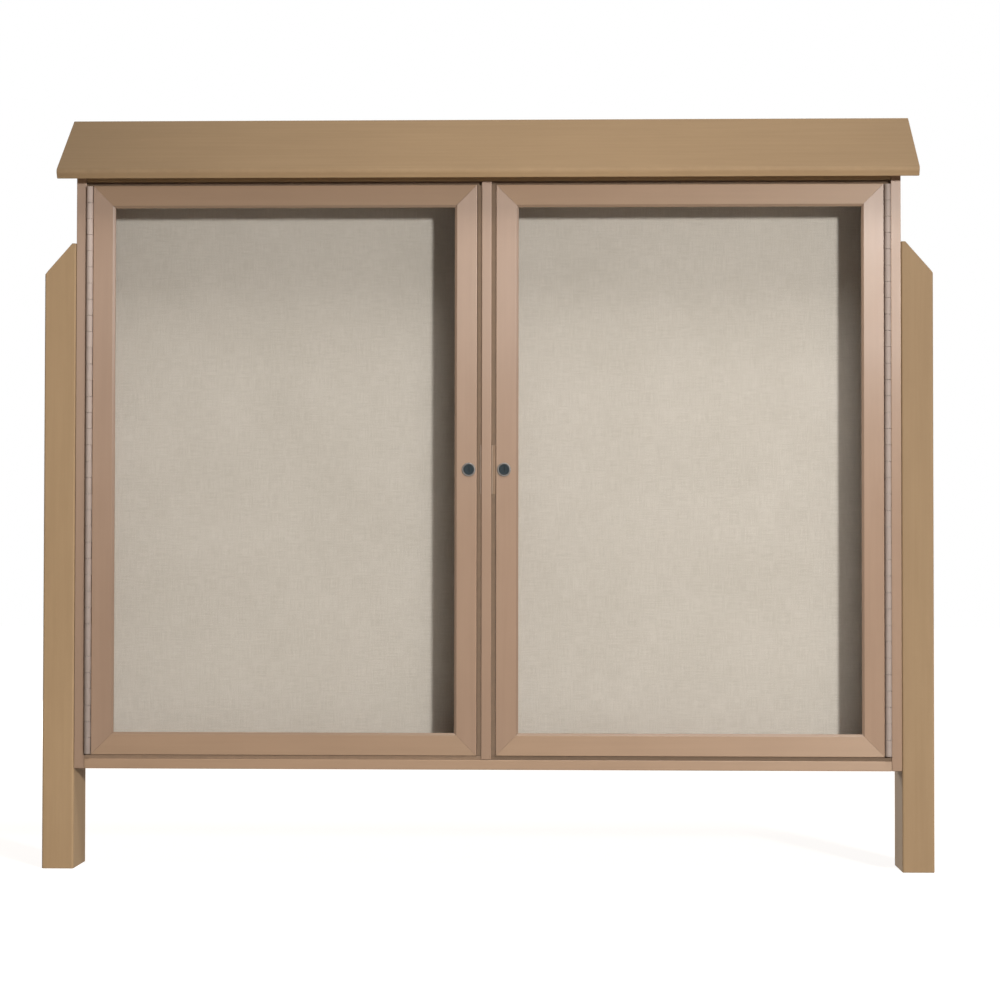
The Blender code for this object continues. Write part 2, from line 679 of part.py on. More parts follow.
def make_lock_nut(side, door_axis):
    centre = Vector((side * LOCK_X, y_at(0), LOCK_Z))
    corner = NUT_ACROSS_FLATS / math.sqrt(3)
    outline = []
    for step in range(6):
        angle = math.radians(30 + 60 * step)
        outline.append((centre.x + corner * math.cos(angle), centre.z + corner * math.sin(angle)))
    shape = swept(outline, "Y", y_at(NUT_DEPTH), y_at(NUT_DEPTH + NUT_THICKNESS))
    nut = place(f"{SIDES[side]}_lock_nut", shape, "steel", centre, parent=door_axis)
    bore = rod(centre, "Y", LOCK_BODY_RADIUS + TOUCH, NUT_DEPTH - TOUCH * 5,
               NUT_DEPTH + NUT_THICKNESS + TOUCH * 5, LOCK_SEGMENTS)
    combine(nut, place(f"{SIDES[side]}_nut_bore", bore, None, centre, parent=door_axis), "DIFFERENCE")


def make_lock_plug(side, lock_axis):
    """The key turns this plug, whose square end turns the cam. Its head has a blind keyway."""
    centre = Vector((side * LOCK_X, y_at(0), LOCK_Z))
    head = -TOUCH - LOCK_FACE_THICKNESS - PLUG_PROUD
    shoulder = CAM_DEPTH - TOUCH
    profile = [
        (0, head),
        (PLUG_HEAD_RADIUS, head),
        (PLUG_HEAD_RADIUS, head + PLUG_HEAD_LENGTH),
        (PLUG_RADIUS, head + PLUG_HEAD_LENGTH),
        (PLUG_RADIUS, shoulder),
        (0, shoulder),
    ]
    shape = turned(profile, centre, "Y", LOCK_SEGMENTS)
    plug = place(f"{SIDES[side]}_lock_plug", shape, "plug", centre, parent=lock_axis, round_piece=True)

    half = TENON_WIDTH / 2
    low = (centre.x - half, y_at(shoulder - TOUCH * 5), centre.z - half)
    high = (centre.x + half, y_at(CAM_BACK), centre.z + half)
    tenon = place(f"{SIDES[side]}_plug_tenon", block(low, high), None, centre, parent=lock_axis)
    combine(plug, tenon, "UNION")

    low = (centre.x - KEYWAY_WIDTH / 2, y_at(head - KEYWAY_DEPTH), centre.z - KEYWAY_HEIGHT / 2)
    high = (centre.x + KEYWAY_WIDTH / 2, y_at(head + KEYWAY_DEPTH), centre.z + KEYWAY_HEIGHT / 2)
    keyway = place(f"{SIDES[side]}_keyway", block(low, high), None, centre, parent=lock_axis)
    combine(plug, keyway, "DIFFERENCE")

    screw_end = CAM_BACK + TOUCH - CAM_SCREW_LENGTH - TOUCH
    bore = rod(centre, "Y", CAM_SCREW_RADIUS + TOUCH, screw_end, CAM_BACK + TOUCH * 5, BORE_SEGMENTS)
    cutter = place(f"{SIDES[side]}_plug_bore", bore, None, centre, parent=lock_axis)
    combine(plug, cutter, "DIFFERENCE")


def make_cam(side, lock_axis):
    """A flat arm that hangs from the plug when unlocked, round at its top and square at its tip."""
    centre = Vector((side * LOCK_X, y_at(0), LOCK_Z))
    outline = []
    for step in range(13):
        angle = math.pi * step / 12
        outline.append((centre.x + CAM_HALF_WIDTH * math.cos(angle), centre.z + CAM_HALF_WIDTH * math.sin(angle)))
    outline.append((centre.x - CAM_HALF_WIDTH, centre.z - CAM_LENGTH))
    outline.append((centre.x + CAM_HALF_WIDTH, centre.z - CAM_LENGTH))
    shape = swept(outline, "Y", y_at(CAM_DEPTH), y_at(CAM_BACK))
    cam = place(f"{SIDES[side]}_lock_cam", shape, "steel", centre, parent=lock_axis)
    half = TENON_WIDTH / 2 + TOUCH
    low = (centre.x - half, y_at(CAM_DEPTH - CAM_THICKNESS), centre.z - half)
    high = (centre.x + half, y_at(CAM_BACK + CAM_THICKNESS), centre.z + half)
    combine(cam, place(f"{SIDES[side]}_cam_hole", block(low, high), None, centre, parent=lock_axis), "DIFFERENCE")


def make_cam_screw(side, lock_axis):
    centre = (side * LOCK_X, y_at(0), LOCK_Z)
    seat = CAM_BACK + TOUCH
    profile = [
        (0, seat - CAM_SCREW_LENGTH),
        (CAM_SCREW_RADIUS, seat - CAM_SCREW_LENGTH),
        (CAM_SCREW_RADIUS, seat),
        (CAM_SCREW_HEAD_RADIUS, seat),
        (CAM_SCREW_HEAD_RADIUS, seat + CAM_SCREW_HEAD_HEIGHT / 2),
        (CAM_SCREW_HEAD_RADIUS * 0.7, seat + CAM_SCREW_HEAD_HEIGHT),
        (0, seat + CAM_SCREW_HEAD_HEIGHT),
    ]
    shape = turned(profile, centre, "Y", BORE_SEGMENTS)
    place(f"{SIDES[side]}_cam_screw", shape, "steel", centre, parent=lock_axis, round_piece=True)


def make_keeper(side):
    """An angle on the middle wall. The locked cam lies behind its lip."""
    near = side * KEEPER_LEG_X
    leg = near + side * KEEPER_THICKNESS
    tip = side * (LOCK_X - CAM_HALF_WIDTH - CAM_SWING_GAP)
    front = y_at(KEEPER_FRONT)
    lip_front = y_at(KEEPER_LIP_DEPTH)
    lip_back = y_at(KEEPER_LIP_DEPTH + KEEPER_THICKNESS)
    outline = [(near, front), (leg, front), (leg, lip_front), (tip, lip_front), (tip, lip_back), (near, lip_back)]
    low = LOCK_Z - KEEPER_HEIGHT / 2
    shape = swept(outline, "Z", low, low + KEEPER_HEIGHT)
    place(f"{SIDES[side]}_keeper", shape, "frame", (near, front, low))


def make_door(side):
    name = SIDES[side]
    hinge_axis = make_axis(f"{name}_door_axis", (side * HINGE_X, y_at(-AXIS_PROUD), DOOR_LOW))
    lock_axis = make_axis(f"{name}_lock_axis", (side * LOCK_X, y_at(0), LOCK_Z), parent=hinge_axis)
    make_door_frame(side, hinge_axis)
    make_glazing(side, hinge_axis)
    make_hinge(side, hinge_axis)
    make_lock_body(side, hinge_axis)
    make_lock_nut(side, hinge_axis)
    make_lock_plug(side, lock_axis)
    make_cam(side, lock_axis)
    make_cam_screw(side, lock_axis)


def make_board():
    clear_scene()
    make_level_boards()
    make_centre_wall()
    make_back_panel()
    make_roof()
    make_battens()
    for side in (LEFT, RIGHT):
        make_post(side)
        make_side_panel(side)
        make_lag_screws(side)
        make_posting_board(side)
        make_stops(side)
        make_keeper(side)
        make_door(side)


make_board()
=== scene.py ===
# %% [markdown]
# A freestanding message board. Two plastic lumber posts carry a shallow cabinet with a sloping roof
# board. Two glazed doors close its front, each on a full-height hinge and with a cam lock, and behind
# each door is a posting board covered in linen-like vinyl.
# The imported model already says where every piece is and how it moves, so this script only gives each
# piece its finished shape and its surface. It loads that model first, as a frame that stays fixed.

# %% The frame
import json
import math

import bpy
import numpy as np
from mathutils import Matrix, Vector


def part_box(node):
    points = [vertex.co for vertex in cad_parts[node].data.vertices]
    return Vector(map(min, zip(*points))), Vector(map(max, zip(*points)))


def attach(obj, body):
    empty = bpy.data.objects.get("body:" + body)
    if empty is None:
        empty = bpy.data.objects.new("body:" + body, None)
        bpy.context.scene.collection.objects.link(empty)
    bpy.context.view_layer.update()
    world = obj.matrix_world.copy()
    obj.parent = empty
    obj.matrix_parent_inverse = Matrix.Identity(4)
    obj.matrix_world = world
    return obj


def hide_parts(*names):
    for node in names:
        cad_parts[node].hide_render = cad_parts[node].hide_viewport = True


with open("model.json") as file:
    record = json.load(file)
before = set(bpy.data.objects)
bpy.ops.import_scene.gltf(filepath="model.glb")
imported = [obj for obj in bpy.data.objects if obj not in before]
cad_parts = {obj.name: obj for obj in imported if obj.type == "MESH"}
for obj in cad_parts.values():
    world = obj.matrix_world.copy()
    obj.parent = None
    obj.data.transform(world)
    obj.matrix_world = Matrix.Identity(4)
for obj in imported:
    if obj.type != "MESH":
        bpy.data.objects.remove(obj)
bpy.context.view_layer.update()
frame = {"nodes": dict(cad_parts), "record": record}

MM = 0.001
SIDES = {"left": -1, "right": 1}
BODY = {node: body for body, nodes in frame["record"]["behaviour"]["bodies"].items() for node in nodes}
FACE_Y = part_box("left_side_panel")[0].y      # plane of the cabinet's front

# %% [markdown]
# The camera stands about four metres in front of the board, a little right of its middle and at half
# its height, and looks slightly to the left and up. Its place and its focal length were found by
# fitting the board's edges. Blender could aim it with a Track To constraint, but that leaves no say in
# how the picture is turned. Three angles say it all: the view direction comes from yaw and pitch, and
# roll then turns the picture about that direction.

# %% The camera
SENSOR_WIDTH = 36.0
PICTURE_WIDTH = 1000
FOCAL_PIXELS = 2540.0
CAMERA_SPOT = (0.1468, FACE_Y - 4.0544, 0.4909)
YAW_LEFT, PITCH_UP, ROLL = 0.0308, 0.0245, 0.0013


def aim(yaw, pitch, roll):
    """The camera's own axes as columns: right, up and back.

    It looks along (-sin yaw x cos pitch, cos yaw x cos pitch, sin pitch). Its right is level at first,
    and roll turns right and up about the line it looks along.
    """
    ahead = np.array([-math.sin(yaw) * math.cos(pitch), math.cos(yaw) * math.cos(pitch), math.sin(pitch)])
    level = np.array([math.cos(yaw), math.sin(yaw), 0.0])
    rise = np.cross(level, ahead)
    right = level * math.cos(roll) + rise * math.sin(roll)
    up = rise * math.cos(roll) - level * math.sin(roll)
    return np.stack([right, up, -ahead], axis=1)


def put(name, data, axes=np.eye(3), spot=(0.0, 0.0, 0.0)):
    """A new object in the scene, at the spot. The columns of axes are its own right, up and back."""
    item = bpy.data.objects.new(name, data)
    bpy.context.scene.collection.objects.link(item)
    place = np.eye(4)
    place[:3, :3] = axes
    place[:3, 3] = spot
    item.matrix_world = Matrix(place.tolist())
    return item


lens = bpy.data.cameras.new("front_camera")
lens.sensor_width = SENSOR_WIDTH
lens.lens = FOCAL_PIXELS / PICTURE_WIDTH * SENSOR_WIDTH
lens.clip_start, lens.clip_end = 0.1, 100.0
bpy.context.scene.camera = put("front_camera", lens, aim(YAW_LEFT, PITCH_UP, ROLL), CAMERA_SPOT)
print("camera: lens", round(lens.lens, 2), "mm")

# %% [markdown]
# Materials and the studio are node trees, and every node in them is made the same way: by its kind,
# what goes into it, and its settings. One small function does that, so each finish below reads as a
# list of what feeds what. What goes in is a number, a colour, or another node's output. The helpers
# after it are the few sums on numbers and colours that nearly every finish needs.

# %% One way to make a node
def fill(tree, made, sockets):
    """Each named or numbered socket of the node made gets its value or its link."""
    for key, value in sockets.items():
        if isinstance(value, bpy.types.NodeSocket):
            tree.links.new(value, made.inputs[key])
        else:
            made.inputs[key].default_value = value


def node(tree, kind, inputs=None, **settings):
    """A new node in the tree. inputs maps a socket's name or number to a value or another socket."""
    made = tree.nodes.new("ShaderNode" + kind)
    for key, value in settings.items():
        setattr(made, key, value)
    fill(tree, made, inputs or {})
    return made


def maths(tree, operation, first, second=0.0, clamp=False):
    """first and second put together by one arithmetic operation."""
    return node(tree, "Math", {0: first, 1: second}, operation=operation, use_clamp=clamp).outputs[0]


def weighed(tree, first, second):
    """The sum of two values, each times its own weight. Each is given as (value, weight)."""
    return maths(tree, "ADD", maths(tree, "MULTIPLY", *first), maths(tree, "MULTIPLY", *second))


def scaled(tree, colour, factor):
    """The colour times a number."""
    return node(tree, "VectorMath", {0: colour, 3: factor}, operation="SCALE").outputs[0]


def blend(tree, share, first, second):
    """The colour a share of the way from first to second."""
    return node(tree, "Mix", {0: share, 6: first, 7: second}, data_type="RGBA").outputs[2]


def span(tree, value, low, high, start=0.0, end=1.0):
    """value moved from the range low to high into the range start to end, smoothly and held there."""
    inputs = {0: value, 1: low, 2: high, 3: start, 4: end}
    return node(tree, "MapRange", inputs, interpolation_type="SMOOTHSTEP").outputs[0]


def new_finish(name):
    """A material with a Principled shader. Returns the material, its tree and the shader."""
    material = bpy.data.materials.new(name)
    material.use_nodes = True
    return material, material.node_tree, material.node_tree.nodes["Principled BSDF"]


def set_surface(tree, shader):
    """The material shows this shader instead of its first one."""
    fill(tree, tree.nodes["Material Output"], {"Surface": shader.outputs[0]})


print("node helpers: fill, node, maths, weighed, scaled, blend, span, new_finish, set_surface")

# %% [markdown]
# The studio has three soft lamps and light from all round, stronger from above. The key lamp is to the
# right of the camera and low, which is why the door frames throw a dark band down the right side and
# along the top of each window but the roof hardly darkens the doors. The second hangs high in front
# and lights the roof. The third stands behind the board, lights only its back and its left side, and
# is so low that it hardly reaches the shadow on the floor.
# A white background could come from much more light, but that would bleach the board too. Instead the
# camera, metal and glass see plain white where they look past the board, and all other rays find the
# soft light.

# %% The light
BOARD_MIDDLE = (0.0, FACE_Y, 0.64)
KEY_LAMP = {"spot": (2.45, FACE_Y - 4.84, 1.58), "size": 0.42, "power": 240.0}
HIGH_LAMP = {"spot": (0.7, FACE_Y - 1.6, 4.2), "size": 1.3, "power": 87.0}
REAR_LAMP = {"spot": (-2.7, FACE_Y + 4.3, 0.95), "size": 1.0, "power": 130.0}
ROOM_LIGHT = 0.24
ROOM_TINT = (1.0, 0.80, 0.60)
WHITE = (1, 1, 1, 1)


def unit(vectors):
    """Vectors brought to a length of one."""
    return vectors / np.linalg.norm(vectors, axis=-1, keepdims=True)


def seen_directly(tree):
    """1 for rays from the camera and those that metal and glass send on, 0 for rays that gather light."""
    path = node(tree, "LightPath")
    mirrored = maths(tree, "MAXIMUM", path.outputs["Is Camera Ray"], path.outputs["Is Glossy Ray"])
    return maths(tree, "MAXIMUM", mirrored, path.outputs["Is Transmission Ray"])


def make_world():
    """Light that grows with the height it comes from, and plain white for what is seen directly."""
    world = bpy.data.worlds.new("studio_light")
    world.use_nodes = True
    tree = world.node_tree
    height = node(tree, "SeparateXYZ", {0: node(tree, "TexCoord").outputs["Generated"]}).outputs[2]
    rising = maths(tree, "MULTIPLY", maths(tree, "MAXIMUM", height, 0.0), ROOM_LIGHT)
    shown = blend(tree, seen_directly(tree), scaled(tree, ROOM_TINT, rising), WHITE)
    fill(tree, tree.nodes["Background"], {"Color": shown})
    bpy.context.scene.world = world


def make_lamp(name, spot, size, power):
    """A round lamp at the spot, turned so that its back axis points away from the board's middle."""
    light = bpy.data.lights.new(name, "AREA")
    light.shape = "DISK"
    light.size = size
    light.energy = power
    ahead = unit(np.array(BOARD_MIDDLE) - np.array(spot))
    right = unit(np.cross(ahead, (0, 0, 1)))
    put(name, light, np.stack([right, np.cross(right, ahead), -ahead], axis=1), spot)


make_world()
make_lamp("key_lamp", **KEY_LAMP)
make_lamp("high_lamp", **HIGH_LAMP)
make_lamp("rear_lamp", **REAR_LAMP)
bpy.context.scene.view_settings.view_transform = "Standard"
print("light: key lamp at", [round(v, 2) for v in KEY_LAMP["spot"]])

# %% [markdown]
# The board stands on a pale floor. A plain white sheet would turn grey where the lamps hardly reach, and
# its far edge would show as a line. So this floor has a glow of its own that only the camera, metal and
# glass see, a little stronger further away, and the board's shadow stays visible under it.

# %% The floor
FLOOR_HALF = 15.0
FLOOR_COLOUR = (0.40, 0.36, 0.32, 1)
NEAR_GLOW, FAR_GLOW = 0.88, 0.99
GLOW_REACH = 2.0, 7.0


def make_floor():
    """A pale square whose glow, seen directly only, grows with the distance from the board."""
    material, tree, shader = new_finish("pale_floor")
    fill(tree, shader, {"Base Color": FLOOR_COLOUR, "Roughness": 1.0, "Specular IOR Level": 0.0})
    spot = node(tree, "TexCoord").outputs["Object"]
    reach = node(tree, "VectorMath", {0: spot}, operation="LENGTH").outputs["Value"]
    glow = span(tree, reach, *GLOW_REACH, NEAR_GLOW, FAR_GLOW)
    glow = node(tree, "Emission", {"Strength": maths(tree, "MULTIPLY", seen_directly(tree), glow)})
    lit = node(tree, "AddShader", {0: shader.outputs[0], 1: glow.outputs[0]})
    mirrored = node(tree, "LightPath").outputs["Is Glossy Ray"]
    white = node(tree, "Emission", {"Strength": 1.0})
    set_surface(tree, node(tree, "MixShader", {0: mirrored, 1: lit.outputs[0], 2: white.outputs[0]}))
    mesh = bpy.data.meshes.new("floor")
    corners = FLOOR_HALF * np.array([[-1, -1, 0], [1, -1, 0], [1, 1, 0], [-1, 1, 0]])
    mesh.from_pydata(corners.tolist(), [], [(0, 1, 2, 3)])
    mesh.materials.append(material)
    floor = put("floor", mesh)


make_floor()
print("floor:", 2 * FLOOR_HALF, "m wide")

# %% [markdown]
# Plastic lumber is pressed through a die, so its colour lies in faint streaks along the board, over
# cloudy patches, and its skin has fine lines the same way. An image of wood would repeat and look
# grown, so this is noise instead. All lumber finishes use it with their own colours, so it is a group.
# It reads a vector whose Z runs along the board and stretches it that way: noise that is squeezed
# across a board and drawn out along it is what a streak is.

# %% Grain along a board
def new_group(name, inputs, outputs):
    """An empty shader node group with the given value sockets, and its input and output nodes."""
    tree = bpy.data.node_groups.new(name, "ShaderNodeTree")
    for title, kind in inputs.items():
        tree.interface.new_socket(title, in_out="INPUT", socket_type="NodeSocket" + kind)
    for title in outputs:
        tree.interface.new_socket(title, in_out="OUTPUT", socket_type="NodeSocketFloat")
    return tree, tree.nodes.new("NodeGroupInput"), tree.nodes.new("NodeGroupOutput")


def noise(tree, vector, scale, detail=2.0, roughness=0.5, stretch=None):
    """Noise with features 1 / scale metres wide, drawn out along Z where stretch is below 1."""
    if stretch is not None:
        vector = node(tree, "Mapping", {"Vector": vector, "Scale": (1, 1, stretch)}).outputs[0]
    inputs = {"Vector": vector, "Scale": scale, "Detail": detail, "Roughness": roughness}
    return node(tree, "TexNoise", inputs).outputs["Fac"]


def make_grain():
    """Streak and Cloud are noise stretched a lot and a little, Height is fine lines and shallow pits."""
    tree, given, out = new_group("board_grain", {"Vector": "Vector"}, ("Streak", "Cloud", "Height"))
    vector = given.outputs["Vector"]
    streak = noise(tree, vector, 130.0, 3.0, 0.6, stretch=0.035)
    cloud = noise(tree, vector, 11.0, 4.0, 0.6, stretch=0.5)
    lines = noise(tree, vector, 1100.0, 2.0, 0.5, stretch=0.012)
    shallow_pits = noise(tree, vector, 420.0, 2.0, 0.5)
    fill(tree, out, {
        "Streak": span(tree, streak, 0.34, 0.66), "Cloud": span(tree, cloud, 0.3, 0.7),
        "Height": weighed(tree, (lines, 0.55), (shallow_pits, 0.45))})
    return tree


GRAIN = make_grain()
print("grain group:", len(GRAIN.nodes), "nodes")

# %% [markdown]
# Handling rubs the eased edges of boards, frames and metal parts a little paler. Wear could be found
# from how sharply the mesh bends, but that changes with how finely the mesh is divided. So each piece
# below carries a value called worn, which is 1 on its rounded edges and 0 on its flats, and this group
# breaks the value up with noise, so that the rubbing is patchy. Each piece also carries a tone, which
# makes a board paler or darker as a whole, or from one end to the other. On several pieces that tone
# is painted light and shade, as said where they are made.

# %% Wear along edges
def carried(tree, name):
    """A value that each point of a piece carries."""
    return node(tree, "Attribute", attribute_name=name).outputs["Fac"]


def make_wear():
    """Mask is worn x patches of noise x Amount."""
    tree, given, out = new_group("edge_wear", {"Vector": "Vector", "Amount": "Float"}, ("Mask",))
    patches = span(tree, noise(tree, given.outputs["Vector"], 55.0, 3.0, 0.6), 0.35, 0.7)
    rubbed = maths(tree, "MULTIPLY", carried(tree, "worn"), patches)
    fill(tree, out, {"Mask": maths(tree, "MULTIPLY", rubbed, given.outputs["Amount"], clamp=True)})
    return tree


WEAR = make_wear()


def toned(tree, colour):
    """The colour made paler or darker by the piece's tone."""
    return scaled(tree, colour, carried(tree, "tone"))


def rubbed_paler(tree, vector, amount, colour, paler):
    """The colour, going over to the paler one where the wear mask says."""
    wear = node(tree, "Group", {"Vector": vector, "Amount": amount}, node_tree=WEAR)
    return blend(tree, wear.outputs["Mask"], colour, paler)


print("wear group:", len(WEAR.nodes), "nodes")

# %% [markdown]
# The boards are matt, and the planed door frames have a satin skin whose fine lines spread a highlight
# across them but not along them. That is anisotropy: stiles, whose lines stand upright, carry a wide
# pale sheen from the lamp, and rails hardly any. Real scratches as geometry would cost millions of
# faces for the same sheen. One function makes all five lumber finishes. The sawn ends of a board show
# its rougher, darker core, so they are found by the way the surface faces.

# %% Plastic lumber
EDGE_WEAR, RUBBED_TONE = 0.22, 1.22
SAWN_FROM, SAWN_FULLY = 0.45, 0.6       # how far a surface faces along the board
SAWN_ROUGHER, CLOUD_ROUGHER = 0.25, 0.06
CORE_TONE = 0.72
PIT_DEPTH = 1.5                         # against the depth of the fine lines
RELIEF_HEIGHT = 0.2 * MM
ALONG = {"x": (0.0, math.pi / 2, 0.0), "z": (0.0, 0.0, 0.0)}   # turns that bring a board's length to Z


def rgba(colour, factor=1.0, more=0.0):
    """A colour's first three numbers times the factor, plus more, up to 1, and opaque."""
    return tuple(min(1.0, v * factor + more) for v in colour[:3]) + (1,)


def lumber(name, length, light, dark, rough, relief, **plain):
    """Plastic lumber whose length lies along the given axis. plain holds the shader's fixed numbers.

    Its colour is dark to light by 0.45 x streak + 0.55 x cloud, times the tone. Its roughness is rough,
    more or less by cloud, and more where it is sawn.
    """
    material, tree, shader = new_finish(name)
    place = node(tree, "TexCoord")
    vector = node(tree, "Mapping", {"Vector": place.outputs["Object"], "Rotation": ALONG[length]}).outputs[0]
    streak, cloud, lines = node(tree, "Group", {"Vector": vector}, node_tree=GRAIN).outputs
    colour = toned(tree, blend(tree, weighed(tree, (streak, 0.45), (cloud, 0.55)), dark, light))
    colour = rubbed_paler(tree, vector, EDGE_WEAR, colour, scaled(tree, colour, RUBBED_TONE))
    facing = node(tree, "SeparateXYZ", {0: place.outputs["Normal"]}).outputs["xyz".index(length)]
    sawn = span(tree, maths(tree, "ABSOLUTE", facing), SAWN_FROM, SAWN_FULLY)
    pits = span(tree, noise(tree, vector, 650.0, 2.0, 0.7), 0.45, 0.62)
    core = blend(tree, pits, rgba(dark, CORE_TONE), dark)
    clouded = maths(tree, "ADD", maths(tree, "MULTIPLY", cloud, CLOUD_ROUGHER), rough - CLOUD_ROUGHER / 2)
    roughness = maths(tree, "ADD", clouded, maths(tree, "MULTIPLY", sawn, SAWN_ROUGHER), clamp=True)
    height = weighed(tree, (lines, relief), (maths(tree, "MULTIPLY", sawn, pits), PIT_DEPTH))
    bump = node(tree, "Bump", {"Height": height, "Distance": RELIEF_HEIGHT, "Strength": 0.5})
    fill(tree, shader, {
        "Base Color": blend(tree, sawn, colour, core), "Roughness": roughness, "Normal": bump.outputs[0],
        **plain})
    return material


BOARD_LIGHT, BOARD_DARK = (0.362, 0.246, 0.139, 1), (0.328, 0.220, 0.122, 1)
FRAME_LIGHT, FRAME_DARK = (0.356, 0.238, 0.164, 1), (0.328, 0.217, 0.149, 1)
# The rails' colours are the frames' made a little darker and with less blue: painted shade.
SHADED_RAIL_LIGHT, SHADED_RAIL_DARK = (0.344, 0.223, 0.138, 1), (0.317, 0.204, 0.125, 1)
MATT = {"Specular IOR Level": 0.12}
UPRIGHT = {"Specular IOR Level": 0.28, "Anisotropic": 0.9, "Anisotropic Rotation": 0.0}
LYING = {"Specular IOR Level": 0.6, "Anisotropic": 0.5, "Anisotropic Rotation": 0.25}
board_x = lumber("board_along_x", "x", BOARD_LIGHT, BOARD_DARK, 0.62, 1.0, **MATT)
board_z = lumber("board_along_z", "z", BOARD_LIGHT, BOARD_DARK, 0.62, 1.0, **MATT)
satin_z = lumber("board_satin", "z", FRAME_LIGHT, FRAME_DARK, 0.37, 0.6, **UPRIGHT)
stile = lumber("door_stile", "z", FRAME_LIGHT, FRAME_DARK, 0.335, 0.35, **UPRIGHT)
rail = lumber("door_rail", "x", SHADED_RAIL_LIGHT, SHADED_RAIL_DARK, 0.47, 0.35, **LYING)
print("lumber finishes:", *(finish.name for finish in (board_x, board_z, satin_z, stile, rail)))

# %% [markdown]
# The posting boards are faced with vinyl that is embossed like linen. Its warp and weft are two sets
# of fine ridges, one along X and one along Z, and uneven threads show as short pale slubs both ways.
# Woven threads could be modelled one by one, but from a few steps away only the slubs show. So they
# carry the colour, and the ridges go into the relief.

# %% Linen-like vinyl
THREAD = 1.2 * MM
SLUB_LENGTH = 22 * MM
LINEN_HEIGHT = 0.08 * MM
VINYL_LIGHT, VINYL_DARK = (0.618, 0.544, 0.487, 1), (0.536, 0.467, 0.411, 1)


def make_vinyl():
    """Ridges are sin(tau x place / thread) both ways. Slubs are noise drawn out along X and along Z.

    Its colour is dark to light by 0.75 x slubs + 0.25 x clouds, times the tone.
    """
    material, tree, shader = new_finish("linen_vinyl")
    spot = node(tree, "TexCoord").outputs["Object"]
    across, _, upright = node(tree, "SeparateXYZ", {0: spot}).outputs
    weft, warp = (
        maths(tree, "SINE", maths(tree, "MULTIPLY", way, math.tau / THREAD)) for way in (upright, across))
    slubs = []
    for scale in ((1 / SLUB_LENGTH, 1, 1 / THREAD), (1 / THREAD, 1, 1 / SLUB_LENGTH)):
        stretched = node(tree, "Mapping", {"Vector": spot, "Scale": scale}).outputs[0]
        slubs.append(noise(tree, stretched, 0.8, 3.0, 0.6))
    slub = span(tree, maths(tree, "ADD", *slubs), 0.8, 1.2)
    cloud = span(tree, noise(tree, spot, 9.0, 4.0, 0.6), 0.3, 0.7)
    share = weighed(tree, (slub, 0.75), (cloud, 0.25))
    height = maths(tree, "ADD", maths(tree, "MAXIMUM", weft, warp), maths(tree, "MULTIPLY", slub, 1.5))
    bump = node(tree, "Bump", {"Height": height, "Distance": LINEN_HEIGHT, "Strength": 0.7})
    fill(tree, shader, {
        "Base Color": toned(tree, blend(tree, share, VINYL_DARK, VINYL_LIGHT)),
        "Roughness": span(tree, slub, 0, 1, 0.8, 0.7),
        "Normal": bump.outputs[0], "Specular IOR Level": 0.2})
    return material


vinyl = make_vinyl()
print("vinyl:", len(vinyl.node_tree.nodes), "nodes")

# %% [markdown]
# The panes are clear sheet. Real glass would keep lamp light from what is behind it in a render like
# this, so rays that carry light to a surface pass through it as if it were open, a little dimmed, and
# only the rays that are looked along meet glass. A trace of film on the sheet varies its tint.

# %% Clear panes
PANE_TINT, PANE_FILM = (0.97, 0.985, 0.98, 1), (0.94, 0.955, 0.945, 1)
OPEN_TINT = (0.95, 0.965, 0.955, 1)
GLARE_TINT = (0.12, 0.12, 0.12, 1)


def make_glass():
    """Glass for rays that are looked along, and an open way for shadow rays and those that gather light."""
    material, tree, shader = new_finish("clear_pane")
    spot = node(tree, "TexCoord").outputs["Object"]
    film = span(tree, noise(tree, spot, 6.0, 4.0, 0.6), 0.35, 0.7)
    fill(tree, shader, {
        "Base Color": blend(tree, film, PANE_TINT, PANE_FILM), "Roughness": 0.0, "IOR": 1.49,
        "Transmission Weight": 1.0, "Specular IOR Level": 0.2, "Specular Tint": GLARE_TINT})
    path = node(tree, "LightPath")
    lit = maths(tree, "MAXIMUM", path.outputs["Is Shadow Ray"], path.outputs["Is Diffuse Ray"])
    open_way = node(tree, "BsdfTransparent", {"Color": OPEN_TINT})
    set_surface(tree, node(tree, "MixShader", {0: lit, 1: shader.outputs[0], 2: open_way.outputs[0]}))
    return material


glass = make_glass()
print("glass:", len(glass.node_tree.nodes), "nodes")

# %% [markdown]
# The rest is metal, rubber, foam, paint and pressed fibre. Each is one colour that drifts a little,
# with a fine relief of its own: drawn lines on rolled hinge metal, a crystal bloom on zinc plate, open
# cells in foam. Eight trees built by hand would say the same thing eight times, so one function takes
# the colour, how far it drifts, and the size and shape of the relief.

# %% Small finishes
PALE_FACTOR, PALE_MORE = 1.3, 0.03
ROUGH_DRIFT = 0.04
METAL = {"Metallic": 1.0}
DULL, DULLER = {"Specular IOR Level": 0.3}, {"Specular IOR Level": 0.25}


def small_finish(name, colour, drift, rough, grain, relief, rub, stretch=None, **plain):
    """One colour, less or more by drift where patches and grain are low or high, times the tone.

    grain is the relief's features per metre, relief its height in metres, rub how far wear shows.
    """
    material, tree, shader = new_finish(name)
    spot = node(tree, "TexCoord").outputs["Object"]
    patch = span(tree, noise(tree, spot, 70.0, 3.0, 0.6), 0.3, 0.7)
    fine = noise(tree, spot, grain, 2.0, 0.6, stretch)
    share = maths(tree, "MULTIPLY", maths(tree, "ADD", patch, fine), 0.5)
    shade = toned(tree, blend(tree, share, rgba(colour, 1 - drift), rgba(colour, 1 + drift)))
    pale = rgba(colour, PALE_FACTOR, PALE_MORE)
    bump = node(tree, "Bump", {"Height": fine, "Distance": relief, "Strength": 1.0})
    fill(tree, shader, {
        "Base Color": rubbed_paler(tree, spot, rub, shade, pale),
        "Roughness": span(tree, patch, 0, 1, rough - ROUGH_DRIFT, rough + ROUGH_DRIFT),
        "Normal": bump.outputs[0], **plain})
    return material


